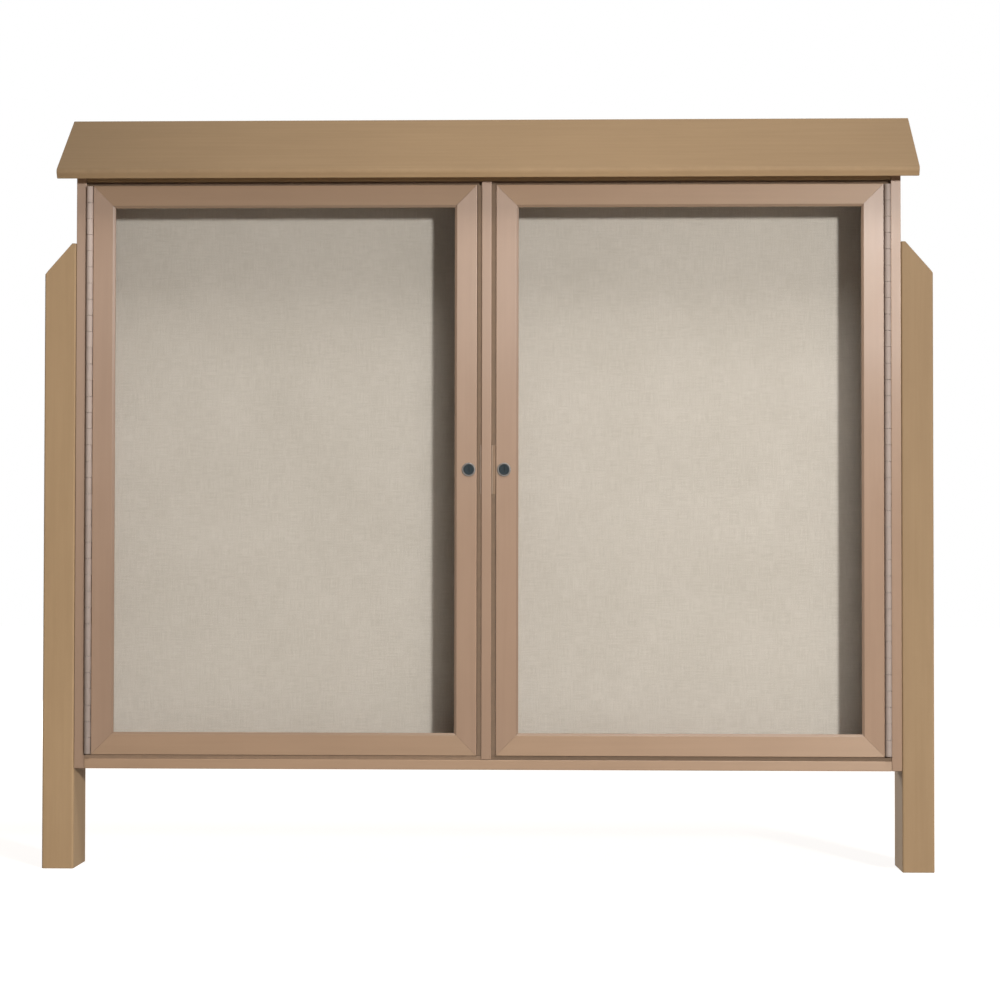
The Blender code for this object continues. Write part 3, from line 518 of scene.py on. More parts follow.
hinge_metal = small_finish(
    "rolled_hinge", (0.335, 0.27, 0.235), 0.07, 0.66, 900.0, 0.02 * MM, 0.25, 0.02, **DULL)
zinc = small_finish("zinc_plate", (0.50, 0.50, 0.48), 0.12, 0.36, 500.0, 0.03 * MM, 0.5, **METAL)
chrome = small_finish("lock_rim", (0.18, 0.165, 0.15), 0.08, 0.5, 1500.0, 0.01 * MM, 0.2, **METAL)
plug_metal = small_finish(
    "lock_plug_face", (0.012, 0.020, 0.024), 0.2, 0.45, 1200.0, 0.02 * MM, 0.1, **DULLER)
keeper_paint = small_finish("keeper_paint", (0.30, 0.21, 0.145), 0.06, 0.6, 700.0, 0.03 * MM, 0.15)
fibre = small_finish("fibre_core", (0.42, 0.285, 0.155), 0.18, 0.85, 800.0, 0.2 * MM, 0.3)
rubber = small_finish("black_bead", (0.022, 0.022, 0.022), 0.2, 0.6, 600.0, 0.05 * MM, 0.2)
foam = small_finish("seal_foam", (0.19, 0.128, 0.084), 0.12, 0.95, 1300.0, 0.3 * MM, 0.1)
print("small finishes: hinge metal, zinc, lock rim, plug, keeper paint, fibre, rubber, foam")

# %% [markdown]
# Nearly every board, strip and sheet here is a flat outline carried along a line. A cube with a Bevel
# modifier would do for some of them, but a carried outline also gives bevels, rebates and mitres, and
# it knows which of its points lie on a rounded edge. The first helper rounds an outline's corners: each
# corner becomes an arc that touches both sides, with a point a little further along each side to keep
# the flats flat. The second draws an outline in by a distance, which eases the ends of a board.

# %% Outlines
HOLD = 0.5 * MM         # how far past an arc the flat's first point lies
ARC_STEPS = 4


def outward_of(ahead):
    """The outward normal of sides that run ahead, counter-clockwise round the outline."""
    return np.stack([ahead[:, 1], -ahead[:, 0]], 1)


def corner_way(a, b):
    """(a + b) / (1 + a.b): the way from a corner to where both sides have moved out by one."""
    return (a + b) / (1 + (a * b).sum(1, keepdims=True))


def rounded(corners, radii, steps=ARC_STEPS):
    """A closed outline with arcs at its corners, and how worn each of its points is.

    With a and b the outward normals of a corner's two sides, the arc's centre lies at the corner less
    radius x (a + b) / (1 + a.b), and its points at the centre plus radius x a normal that turns from
    a to b. At a hollow corner the radius counts as negative.
    """
    corners = np.asarray(corners, float)
    radii = np.broadcast_to(np.asarray(radii, float), len(corners))
    ahead = np.roll(corners, -1, 0) - corners
    if (corners[:, 0] * ahead[:, 1] - corners[:, 1] * ahead[:, 0]).sum() < 0:
        corners, radii = corners[::-1], radii[::-1]
        ahead = np.roll(corners, -1, 0) - corners
    lengths = np.linalg.norm(ahead, axis=1)
    ahead = unit(ahead)
    behind = np.roll(ahead, 1, 0)
    normal_in, normal_on = outward_of(behind), outward_of(ahead)
    turn = np.arctan2(behind[:, 0] * ahead[:, 1] - behind[:, 1] * ahead[:, 0], (behind * ahead).sum(1))
    signed = (np.sign(turn) * radii)[:, None]
    middle = corners - signed * corner_way(normal_in, normal_on)
    share = np.concatenate([[0], np.linspace(0, 1, steps + 1), [1]])
    angle = np.arctan2(normal_in[:, 1], normal_in[:, 0])[:, None] + turn[:, None] * share
    spots = middle[:, None] + signed[:, None] * np.stack([np.cos(angle), np.sin(angle)], -1)
    taken = radii * np.tan(np.abs(turn) / 2)
    hold = np.minimum(HOLD, (lengths - taken - np.roll(taken, -1)) / 3)[:, None]
    spots[:, 0] -= np.roll(hold, 1, 0) * behind
    spots[:, -1] += hold * ahead
    worn = np.ones(spots.shape[:2]) * (turn[:, None] > 0)
    worn[:, [0, -1]] = 0
    return spots.reshape(-1, 2), worn.reshape(-1)


def drawn_in(outline, insets):
    """The outline moved inward by each inset: every point goes back along (a + b) / (1 + a.b)."""
    normal_on = outward_of(unit(np.roll(outline, -1, 0) - outline))
    pull = corner_way(np.roll(normal_on, 1, 0), normal_on)
    return outline[None] - np.asarray(insets, float)[:, None, None] * pull[None]


print("outline helpers: rounded, drawn_in")

# %% [markdown]
# An outline carried along a line is a row of rings with the same number of points each, and a face
# joins every two neighbours on one ring to the same two on the next. Blender's Bridge Edge Loops does
# that by hand, but when the points are numbered ring by ring, every face is a sum of numbers. A sawn
# board's ends are sharp until somebody eases them, so the rings near an end shrink along a quarter
# round.

# %% Skins and bars
AXES = {"x": np.array([1.0, 0, 0]), "y": np.array([0, 1.0, 0]), "z": np.array([0, 0, 1.0])}


def fan(ring):
    """Triangles from a ring's first point to each of its further sides."""
    return np.stack([np.full(len(ring) - 2, ring[0]), ring[1:-1], ring[2:]], 1)


def skin(rings, worn=0.0, closed=False, caps=None):
    """A shape from rings of points: each face joins points j and j + 1 of rings i and i + 1.

    A closed row of rings bites its own tail. Otherwise its first and last ring are closed flat, the
    last by caps where given. If the signed volume is negative, every face is turned over.
    """
    count, size = rings.shape[:2]
    i = np.arange(count if closed else count - 1)[:, None]
    j = np.arange(size)[None]
    here, there, after = i * size, (i + 1) % count * size, (j + 1) % size
    quads = np.stack([here + j, here + after, there + after, there + j], -1).reshape(-1, 4)
    ends = []
    if not closed:
        ends.append(np.arange(size)[::-1])
        ends += [(count - 1) * size + cap for cap in (caps or [np.arange(size)])]
    points = rings.reshape(-1, 3)
    triangles = np.concatenate([quads[:, [0, 1, 2]], quads[:, [0, 2, 3]]] + [fan(end) for end in ends])
    a, b, c = (points - points.mean(0))[triangles].transpose(1, 0, 2)
    if (a * np.cross(b, c)).sum() < 0:
        quads = quads[:, ::-1]
        ends = [end[::-1] for end in ends]
    return {
        "points": points, "faces": quads.tolist() + [end.tolist() for end in ends],
        "worn": np.broadcast_to(worn, (count, size)).reshape(-1)}


def bar(outline, worn, axes, low, high, ease, origin=(0, 0, 0), between=0):
    """An outline carried straight from low to high, with its ends eased by quarter rounds.

    axes gives three directions: the outline's two and the carrying one. Over an end the inset is
    ease x (1 - sin t) and the distance ease x (1 - cos t), with t from nothing to a quarter turn.
    """
    first, second, along = (AXES[a] if isinstance(a, str) else np.asarray(a, float) for a in axes)
    turn = np.linspace(0, math.pi / 2, 4)
    inset = np.concatenate([[1.5 * ease], ease * (1 - np.sin(turn)), [0]])
    reach = np.concatenate([[0], ease * (1 - np.cos(turn)), [1.5 * ease]])
    middle = np.linspace(low, high, between + 2)[1:-1]
    flat = drawn_in(outline, np.concatenate([inset, middle * 0, inset[::-1]]))
    height = np.concatenate([low + reach, middle, high - reach[::-1]])
    level = flat[..., :1] * first + flat[..., 1:] * second
    rings = level + height[:, None, None] * along + np.asarray(origin)
    rim = np.clip(1 - np.minimum(height - low, high - height) / (1.5 * ease), 0, 1)
    rim[[0, -1]] = 0
    return skin(rings, np.maximum(np.asarray(worn)[None], rim[:, None]))


print("shape helpers: skin, bar")

# %% [markdown]
# A finished piece is one mesh at the origin, with its place in its points. Each could be placed and
# turned as an object of its own, but this way all of them share the one frame. A piece rides on the
# body of the node that it stands for and hides the node. Its points carry the two values that the
# materials read, worn and tone.

# %% Pieces
SHARP = math.radians(35)


def piece(word, name, shapes, material, tone=1.0, trim_on=None):
    """Shapes become one object, named by the word and the node that it stands for.

    tone is a number, an array, or a function of the points. Trim stands for no node: it only rides
    with the node that it is on.
    """
    offsets = np.cumsum([0] + [len(shape["points"]) for shape in shapes])
    points = np.concatenate([shape["points"] for shape in shapes])
    faces = [
        [corner + start for corner in face]
        for shape, start in zip(shapes, offsets) for face in shape["faces"]]
    mesh = bpy.data.meshes.new(f"{word}_{name}")
    mesh.from_pydata(points.tolist(), [], faces)
    tones = np.broadcast_to(tone(points) if callable(tone) else tone, len(points))
    for title, value in {"worn": np.concatenate([shape["worn"] for shape in shapes]), "tone": tones}.items():
        mesh.attributes.new(title, "FLOAT", "POINT").data.foreach_set("value", value.astype(np.float32))
    mesh.shade_smooth()
    mesh.set_sharp_from_angle(angle=SHARP)
    mesh.materials.append(material)
    item = put(mesh.name, mesh)
    rides_with = trim_on or name
    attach(item, BODY[rides_with])
    if not trim_on:
        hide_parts(name)
    return item


def corners_of(name):
    """Lowest and highest corner of a node as arrays."""
    low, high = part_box(name)
    return np.array(low), np.array(high)


def rectangle(left, low, right, high):
    """The corners of a rectangle, counter-clockwise from the lower left."""
    return [(left, low), (right, low), (right, high), (left, high)]


def block(low, high, length, radii, ease):
    """A box from its lowest to its highest corner: its outline, rounded, carried along the given axis."""
    k = "xyz".index(length)
    a, b = [n for n in range(3) if n != k]
    outline = rounded(rectangle(low[a], low[b], high[a], high[b]), radii)
    return bar(*outline, ("xyz"[a], "xyz"[b], length), low[k], high[k], ease)


print("piece helpers: piece, corners_of, rectangle, block")

# %% [markdown]
# The cabinet is a shallow box of boards: a bottom, a top, a wall in the middle, and strips that the
# doors close against. These are plain boards with eased edges, so their nodes' boxes say all that the
# helper needs. Each gets a slightly different tone, as boards from one pallet have. The bottom board and
# the wall show between the doors' frames, and are planed like them.

# %% Plain cabinet boards
BOARD_ROUND, BOARD_EASE = 1.2 * MM, 0.8 * MM
PLANKS = {
    "bottom_board": ("x", rail, 1.07), "top_board": ("x", board_x, 0.97),
    "centre_mullion": ("z", satin_z, 0.98),
    "left_top_stop": ("x", board_x, 0.96), "left_bottom_stop": ("x", board_x, 0.98),
    "right_top_stop": ("x", board_x, 0.98), "right_bottom_stop": ("x", board_x, 0.96),
}
for name, (length, material, tone) in PLANKS.items():
    piece("eased", name, [block(*corners_of(name), length, BOARD_ROUND, BOARD_EASE)], material, tone)
print("plain boards:", len(PLANKS))

# %% [markdown]
# The side panels, the back panel and the battens have tops cut to the roof's pitch. Each one's outline
# lies across the cabinet, in Y and Z, and is carried along X. The cut's height at the front follows
# from the node's own highest corner and the pitch, so the same few lines serve a thin panel and a
# thick batten.

# %% Boards cut to the roof's pitch
ROOF_PITCH = math.radians(35.6)
CUT_BOARDS = {
    "left_side_panel": (satin_z, 0.95), "right_side_panel": (satin_z, 0.98), "back_panel": (board_x, 0.98),
    "front_roof_batten": (board_x, 0.95), "rear_roof_batten": (board_x, 0.97),
}
for name, (material, tone) in CUT_BOARDS.items():
    low, high = corners_of(name)
    front_top = high[2] - (high[1] - low[1]) * math.tan(ROOF_PITCH)
    corners = [(low[1], low[2]), (high[1], low[2]), (high[1], high[2]), (low[1], front_top)]
    shape = bar(*rounded(corners, BOARD_ROUND), "yzx", low[0], high[0], BOARD_EASE)
    piece("eased", name, [shape], material, tone)
print("cut boards:", len(CUT_BOARDS))

# %% [markdown]
# The roof is one wide board, laid to the pitch so that it sheds rain to the front. A level board could
# be drawn and its object turned, but here a piece's place is in its points. So the outline is drawn in
# two tilted directions, up the slope and square to it, and carried along X. The front edge is well
# rounded on top, and its tone there is painted light and shade, so that from in front it is hardly
# darker than the slope. The whole board is painted darker, as painted shade against the light of the
# high lamp, and darker still towards its ends, most on the left: its tone falls with the square of the
# distance from a place near its middle.

# %% The roof board
ROOF_THICKNESS = 15.9 * MM
NOSE_ROUND = 7.0 * MM
ROOF_ROUNDS = [2.2 * MM, 1.4 * MM, 1.4 * MM, NOSE_ROUND]
# Painted shade: the roof's tone is lower than the other boards' against the high lamp, and falls towards its
# ends.
ROOF_PAINTED_SHADE, ROOF_END_PAINTED_SHADE, PAINTED_SHADE_MIDDLE = 0.845, 0.34, 0.12
NOSE_HEIGHTS = (0.0, 0.56, 0.94)        # shares of the board's thickness, from below
# Painted light on the nose's lower part, which faces down into shade, and painted shade over the highlight on
# its top.
NOSE_PAINTED_TONES = (1.6, 1.43, 0.95)
NOSE_STEPS = 8
RINGS_BETWEEN = 12                      # rings between the ends, which carry the tone


def make_roof():
    """The outline's place is origin + up x slope + through x square, from the front's lower edge."""
    low, high = corners_of("roof_board")
    slope = np.array([0, math.cos(ROOF_PITCH), math.sin(ROOF_PITCH)])
    square = np.array([0, -math.sin(ROOF_PITCH), math.cos(ROOF_PITCH)])
    length = (high[2] - low[2] - ROOF_THICKNESS * square[2]) / slope[2]
    origin = np.array([0, high[1], high[2] - ROOF_THICKNESS * square[2]]) - slope * length
    outline = rounded(rectangle(0, 0, length, ROOF_THICKNESS), ROOF_ROUNDS, NOSE_STEPS)
    shape = bar(*outline, (slope, square, "x"), low[0], high[0], BOARD_EASE, origin, RINGS_BETWEEN)

    def tone(points):
        """Painted shade: tone less fade x (x - middle) squared, times the nose's painted tones at the front
        edge.
        """
        on_nose = (points - origin) @ slope < NOSE_ROUND + HOLD / 2
        painted_nose = np.interp((points - origin) @ square / ROOF_THICKNESS, NOSE_HEIGHTS, NOSE_PAINTED_TONES)
        return (ROOF_PAINTED_SHADE - ROOF_END_PAINTED_SHADE * (points[:, 0] - PAINTED_SHADE_MIDDLE) ** 2) * np.where(on_nose, painted_nose, 1.0)

    return piece("eased", "roof_board", [shape], board_x, tone)


roof = make_roof()
print("roof:", [round(v, 4) for v in roof.dimensions])

# %% [markdown]
# The posts are 2 by 4 lumber with well-rounded long edges. Their tops are level for a finger's width
# beside the cabinet and then slope down outward. A Boolean cut would leave sharp, unworn edges there.
# Instead the post's rounded cross-section is carried upward, and the last rings follow the cut: their
# height falls with the distance past the level part. The crease between the two parts is a point on
# both long sides, so the top closes with two flat faces. A post is painted paler towards its foot, and
# the right post darker, as painted light and shade where the lamps light the foot less and the right
# post more.

# %% The posts
POST_LEVEL = 6.8 * MM
POST_DROP = 50.0 * MM
POST_ROUND = 3.0 * MM
SAW_EDGE = 0.6 * MM
# Painted shade on the right post, which the key lamp lights more, and painted light towards each foot.
POST_PAINTED_TONE = {"left": 0.98, "right": 0.80}
FOOT_PAINTED_LIGHT = 0.23
ON_CREASE = 1e-7        # points nearer than this lie on the crease


def order_round(part, size):
    """Points of a ring in order round it, starting after the one gap between them."""
    gap = np.flatnonzero(np.diff(np.append(part, part[0] + size)) > 1)
    return np.roll(part, -(int(gap[0]) + 1)) if len(gap) else part


def make_post(side):
    """Height of the top: highest less drop x distance past the crease / width of the sloping part."""
    name = f"{side}_post"
    low, high = corners_of(name)
    outward = SIDES[side]
    inner, outer = (low[0], high[0])[::outward]
    crease = inner + outward * POST_LEVEL
    outline, worn = rounded(rectangle(*low[:2], *high[:2]), POST_ROUND)
    for cut in ((crease, low[1]), (crease, high[1])):
        same = np.isclose(outline[:, 1], cut[1])
        across = (outline[:, 0] - crease) * (np.roll(outline[:, 0], -1) - crease) < 0
        at = int(np.flatnonzero(same & np.roll(same, -1) & across)[0]) + 1
        outline, worn = np.insert(outline, at, cut, axis=0), np.insert(worn, at, 0)
    past = (outline[:, 0] - crease) * outward
    top = high[2] - np.clip(past, 0, None) * POST_DROP / (abs(outer - inner) - POST_LEVEL)
    heights = np.stack([top * 0, top * 0 + SAW_EDGE, top - SAW_EDGE, top])
    rings = np.concatenate([drawn_in(outline, [SAW_EDGE, 0, 0, SAW_EDGE]), heights[..., None]], axis=-1)
    level, sloping = np.flatnonzero(past <= ON_CREASE), np.flatnonzero(past >= -ON_CREASE)
    caps = [order_round(part, len(outline)) for part in (level, sloping)]
    marks = np.maximum(worn[None], np.array([1, 0, 0, 1])[:, None])
    # Its tone is painted light and shade: darker on the right post, paler towards the foot.
    return piece("eased", name, [skin(rings, marks, caps=caps)], board_z,
                 lambda points: POST_PAINTED_TONE[side] * (1 + FOOT_PAINTED_LIGHT * (1 - points[:, 2] / high[2])))


for side in SIDES:
    make_post(side)
print("posts:", len(SIDES))

# %% [markdown]
# Each door is a mitred frame of four strips with one profile. Seen in section, the strip's front has an
# eased outer edge and a shallow bevel round the window, and behind the bevel's lip is the rebate for
# the pane. The profile is carried along each strip, and its ends run on by as much as a point lies
# inward, which is what a mitre does: one frame carried round four corners would lose the joints, where
# the grain changes direction. The bevel is painted darker than the face, as painted shade that dims
# the lamp's highlight on it. Each strip's own tone is painted light and shade as well.

# %% Door frames
FRAME_WIDTH, DOOR_THICKNESS = 36.0 * MM, 19.0 * MM
BEVEL_WIDTH, BEVEL_DEPTH = 4.0 * MM, 2.6 * MM
# Painted shade on the bevel, which dims the lamp's highlight on it.
BEVEL_PAINTED_SHADE = 0.8
LIP, REBATE = 6.0 * MM, 10.0 * MM
FRAME_PROFILE = [
    (0, 0), (FRAME_WIDTH - BEVEL_WIDTH, 0), (FRAME_WIDTH, BEVEL_DEPTH), (FRAME_WIDTH, LIP),
    (FRAME_WIDTH - REBATE, LIP), (FRAME_WIDTH - REBATE, DOOR_THICKNESS), (0, DOOR_THICKNESS)]
FRAME_ROUNDS = [0.9 * MM, 1.0 * MM, 0.8 * MM, 0.5 * MM, 0.4 * MM, 0.5 * MM, 1.0 * MM]
# Painted light and shade on each strip: the left top rail darker as the shade under the roof, the right
# bottom rail paler as the lamp's sheen.
STRIP_PAINTED_TONES = {
    "left": {"outer": 0.97, "inner": 0.99, "top": 0.88, "bottom": 1.0},
    "right": {"outer": 1.0, "inner": 1.0, "top": 0.99, "bottom": 1.06}}


def strip(name, inward, along, material, tone):
    """A mitred strip in the place of its node. inward and along are unit directions.

    A point that lies u inward is at start + u (inward + along) at the near end, and at
    start + length x along + u (inward - along) at the far end.
    """
    outline, worn = rounded(FRAME_PROFILE, FRAME_ROUNDS)
    low, high = corners_of(name)
    inward, along = np.asarray(inward, float), np.asarray(along, float)
    start = np.where(inward + along > 0, low, high)
    start[1] = low[1]
    length = np.abs((high - low) @ along)
    depth = outline[:, 1:] * AXES["y"]
    near = start + outline[:, :1] * (inward + along) + depth
    far = start + along * length + outline[:, :1] * (inward - along) + depth
    # Painted shade on the bevel, times the strip's painted tone.
    tones = np.where(outline[:, 0] > FRAME_WIDTH - BEVEL_WIDTH, BEVEL_PAINTED_SHADE, 1.0) * tone
    return piece("fine", name, [skin(np.stack([near, far]), worn)], material, np.tile(tones, 2))


for side, outward in SIDES.items():
    tones = STRIP_PAINTED_TONES[side]
    strip(f"{side}_door_inner_stile", (outward, 0, 0), (0, 0, 1), stile, tones["inner"])
    strip(f"{side}_door_outer_stile", (-outward, 0, 0), (0, 0, 1), stile, tones["outer"])
    strip(f"{side}_door_bottom_rail", (0, 0, 1), (1, 0, 0), rail, tones["bottom"])
    strip(f"{side}_door_top_rail", (0, 0, -1), (1, 0, 0), rail, tones["top"])
print("door strips:", sum(len(tones) for tones in STRIP_PAINTED_TONES.values()))

# %% [markdown]
# The panes keep their own solids, which are plain sheets, and only take the glass. Behind each pane a
# rubber bead runs round the rebate. Four straight bars would butt or overlap at the corners, so its
# profile is carried round a rectangle: a ring of points at each corner, drawn inward both ways, which
# mitres the corners. The seals that the doors close against are bars of foam.

# %% Panes, beads and seals
BEAD_WIDTH = 7.6 * MM
BEAD_ROUNDS = [0.3 * MM, 0.5 * MM, 2.2 * MM, 0.3 * MM]
STOP_SEAL_ROUNDS = [1.0 * MM, 0.4 * MM, 0.4 * MM, 1.0 * MM]
SEAL_EASE = 0.2 * MM


def make_bead(name):
    """Ring k lies at corner k + u x the two inward signs, in X and Z, with the profile's depth in Y."""
    low, high = corners_of(name)
    outline, worn = rounded(rectangle(0, low[1], BEAD_WIDTH, high[1]), BEAD_ROUNDS)
    reach, depth = outline.T
    inward = rectangle(1, 1, -1, -1)
    rings = np.stack([
        np.stack([x + way_x * reach, depth, z + way_z * reach], 1)
        for (x, z), (way_x, way_z) in zip(rectangle(low[0], low[2], high[0], high[2]), inward)])
    return piece("soft", name, [skin(rings, worn, closed=True)], rubber)


for side in SIDES:
    pane = frame["nodes"][f"{side}_door_pane"]
    pane.data.materials.clear()
    pane.data.materials.append(glass)
    make_bead(f"{side}_glazing_bead")
    for name in (f"{side}_top_seal", f"{side}_bottom_seal"):
        piece("soft", name, [block(*corners_of(name), "x", STOP_SEAL_ROUNDS, SEAL_EASE)], foam)
print("panes, beads and seals:", len(SIDES), len(SIDES), 2 * len(SIDES))

# %% [markdown]
# Behind each door the posting board is a sheet of pressed fibre with the vinyl drawn over its front.
# Both are sheets with soft edges, so the helper for boards serves them too, with smaller rounds. They
# are carried along Z, with the outline in X and Y. The vinyl's tone falls evenly from its foot to its
# top, more on the left: painted light at the foot and painted shade at the top, which even out how the
# lamps light it.

# %% Posting boards
CORE_ROUND, CORE_EASE = 1.0 * MM, 0.5 * MM
VINYL_ROUNDS, VINYL_EASE = [0.4 * MM, 0.4 * MM, 0.2 * MM, 0.2 * MM], 0.1 * MM
# Painted light and shade: the vinyl's tone at its foot and at its top.
VINYL_PAINTED_TONES = {"left": (1.05, 0.945), "right": (1.04, 0.99)}

for side, tones in VINYL_PAINTED_TONES.items():
    core, face = f"{side}_posting_board", f"{side}_vinyl_face"
    piece("eased", core, [block(*corners_of(core), "z", CORE_ROUND, CORE_EASE)], fibre)
    low, high = corners_of(face)
    piece("linen", face, [block(low, high, "z", VINYL_ROUNDS, VINYL_EASE)], vinyl,
          lambda points: np.interp(points[:, 2], (low[2], high[2]), tones))
print("posting boards:", len(VINYL_PAINTED_TONES))

# %% [markdown]
# Round parts, such as screw heads, lock rims and nuts, are turned on a lathe or look as if they were.
# They are rings of points too, each round an axis. Blender's Screw modifier does the same for a plain
# profile. Here a ring's distance from the axis may also change with the angle, which the next cell
# makes use of.

# %% Rings about an axis
def ring_solid(centre, axis, stations, closed=False, turns=48, worn=None):
    """Rings about an axis. stations holds (radius, height) pairs; a radius may be a function of the angle.

    Point j of a ring lies at centre + radius(t) x (first cos t + second sin t) + height x axis.
    """
    first, second, along = (AXES[a] for a in {"x": "yzx", "y": "zxy", "z": "xyz"}[axis])
    angle = np.linspace(0, math.tau, turns, endpoint=False)
    radii = np.stack([
        radius(angle) if callable(radius) else np.full(turns, radius) for radius, _ in stations])
    heights = np.array([height for _, height in stations])
    spoke = np.cos(angle)[:, None] * first + np.sin(angle)[:, None] * second
    rings = np.asarray(centre, float) + radii[..., None] * spoke + heights[:, None, None] * along
    marks = np.zeros(len(stations)) if worn is None else np.array(worn, float)
    return skin(rings, np.broadcast_to(marks[:, None], radii.shape), closed)


def in_mm(start, pairs, way=1):
    """Stations from (radius, height) pairs in millimetres, with heights counted from start one way."""
    return [
        (radius if callable(radius) else radius * MM, start + way * height * MM) for radius, height in pairs]


def collar(small, large, low, high, ease, bore=None):
    """Stations of a rod from low to high, small at its ends and large between, or of a ring with a bore."""
    ends = [(small, low), (large, low + ease), (large, high - ease), (small, high)]
    return ends if bore is None else [(bore, low)] + ends + [(bore, high)]


print("round helpers: ring_solid, in_mm, collar")

# %% [markdown]
# A nut has flats, a screw's recess has six lobes, and a keyway is a slot. Each could be cut out with a
# Boolean, but that leaves long thin faces. A ring whose radius changes with the angle needs no cut, so
# each of the three is only a formula for that radius. A screw head is then a short list of rings.

# %% Flats, lobes, slots and screw heads
NEARLY_NOTHING = 1e-6       # keeps a division from failing


def flats(count, apothem):
    """Radius of a polygon with a corner at angle 0: apothem / cos of the angle from the nearest flat."""
    step = math.tau / count
    return lambda angle: apothem / np.cos(angle % step - step / 2)


def lobes(radius, depth=0.16):
    """Radius of a six-lobed recess: it swells and shrinks six times in a turn."""
    return lambda angle: radius * (1 + depth * np.cos(6 * angle))


def slot_radius(half_width, half_height):
    """Radius of a rectangle, whose long way is where the angle is nothing: the nearer of its sides."""
    return lambda angle: np.minimum(
        half_height / np.maximum(np.abs(np.cos(angle)), NEARLY_NOTHING),
        half_width / np.maximum(np.abs(np.sin(angle)), NEARLY_NOTHING))


def pan_head(centre, axis, radius, height, turns=24):
    """A screw head with a domed top and a six-lobed recess. A negative height faces it the other way."""
    drive = radius * 0.42
    stations = [
        (radius * 0.96, 0), (radius, height * 0.12), (radius * 0.97, height * 0.5),
        (radius * 0.8, height * 0.86), (radius * 0.56, height),
        (lobes(drive), height * 0.99), (lobes(drive * 0.94), height * 0.4)]
    return ring_solid(centre, axis, stations, turns=turns, worn=[0, 1, 1, 0.5, 0.5, 1, 0])


print("more round helpers: flats, lobes, slot_radius, pan_head")

# %% [markdown]
# Each hinge is rolled from two strips of metal. Their edges are cut into tongues, and each tongue is
# rolled into an eye round the pin, so the eyes of the two leaves take turns along it. An eye could be
# one bent sheet, but from outside it is a ring on a short tab, and two simple solids show just that.
# Screws hold the flat of each leaf. Each hinge's tone is painted light: both are a little paler, and
# the left one paler towards its top and darker towards its foot.

# %% Hinges
EYE_RADIUS, EYE_BORE = 5.15 * MM, 2.3 * MM
EYE_COUNT = 35
EYE_GAP, EYE_EASE = 0.4 * MM, 0.3 * MM
EYE_WORN = [0, 1, 0.6, 0.6, 1, 0]
LEAF, NOTCH = 1.2 * MM, 0.5 * MM
TAB_OVERLAP, TAB_INSIDE = 0.4 * MM, 0.02 * MM
TAB_ROUND, TAB_EASE = 0.2 * MM, 0.1 * MM
LEAF_ROUND, LEAF_EASE = 0.3 * MM, 0.15 * MM
LEAF_SCREWS, SCREW_INSET = 6, 40 * MM
LEAF_SCREW_RADIUS, LEAF_SCREW_HEIGHT = 3.2 * MM, 0.9 * MM
PIN_EASE = 0.5 * MM
# Painted light on the hinges: a paler level, and on the left hinge a rise towards the top.
HINGE_PAINTED_LEVEL = {"left": 1.1, "right": 1.02}
HINGE_PAINTED_SLOPE = {"left": 0.65, "right": 0.0}


def make_leaf(side, which):
    """Eyes at every other pitch along the pin, each with its tab, and the flat sheet with its screws."""
    name = f"{side}_hinge_{which}_leaf"
    outward = SIDES[side] * (1 if which == "cabinet" else -1)
    low, high = corners_of(name)
    pin_low, pin_high = corners_of(f"{side}_hinge_pin")
    centre = (pin_low + pin_high) / 2
    pitch = (pin_high[2] - pin_low[2]) / EYE_COUNT
    front = centre[1] + EYE_RADIUS + NOTCH
    seat, wall, tab_wall = (centre[0] + outward * (EYE_RADIUS - inside) for inside in (LEAF, 0, TAB_INSIDE))
    (tab_left, tab_right), (left, right) = sorted((seat, tab_wall)), sorted((seat, wall))
    tab = rectangle(tab_left, centre[1] + TAB_OVERLAP, tab_right, front + LEAF)
    shapes = []
    for index in range(0 if which == "cabinet" else 1, EYE_COUNT, 2):
        bottom = pin_low[2] + pitch * index + EYE_GAP / 2
        top = bottom + pitch - EYE_GAP
        eye = collar(EYE_RADIUS - EYE_EASE, EYE_RADIUS, bottom, top, EYE_EASE, EYE_BORE)
        shapes.append(ring_solid((centre[0], centre[1], 0), "z", eye, closed=True, turns=28, worn=EYE_WORN))
        shapes.append(bar(*rounded(tab, TAB_ROUND, 1), "xyz", bottom, top, TAB_EASE))
    sheet = rectangle(left, front, right, high[1])
    shapes.append(bar(*rounded(sheet, LEAF_ROUND, 2), "xyz", low[2], high[2], LEAF_EASE))
    for spot in np.linspace(low[2] + SCREW_INSET, high[2] - SCREW_INSET, LEAF_SCREWS):
        place = (seat, (front + high[1]) / 2, spot)
        shapes.append(pan_head(place, "x", LEAF_SCREW_RADIUS, -outward * LEAF_SCREW_HEIGHT, 18))
    height = (low[2] + high[2]) / 2
    return piece("rolled", name, shapes, hinge_metal,
                 lambda points: HINGE_PAINTED_LEVEL[side] + HINGE_PAINTED_SLOPE[side] * (points[:, 2] - height))


for side in SIDES:
    for which in ("cabinet", "door"):
        make_leaf(side, which)
    low, high = corners_of(f"{side}_hinge_pin")
    radius = (high[0] - low[0]) / 2
    middle = ((low[0] + high[0]) / 2, (low[1] + high[1]) / 2, 0)
    stations = collar(radius * 0.6, radius, low[2], high[2], PIN_EASE)
    piece("round", f"{side}_hinge_pin", [ring_solid(middle, "z", stations, turns=20)], zinc)
print("hinges:", len(SIDES), "with", EYE_COUNT, "eyes each")

# %% [markdown]
# The locks are round cam locks. A bright rim with a rounded lip sits on the stile, and inside it the
# dark face of the plug lies a little back, with the slot for the key. Behind the stile a nut holds the
# body. Each could be built up from cylinders and cuts, but all of them share one axis along Y, so a
# list of radii and heights is enough. The lists are in millimetres from the piece's front.

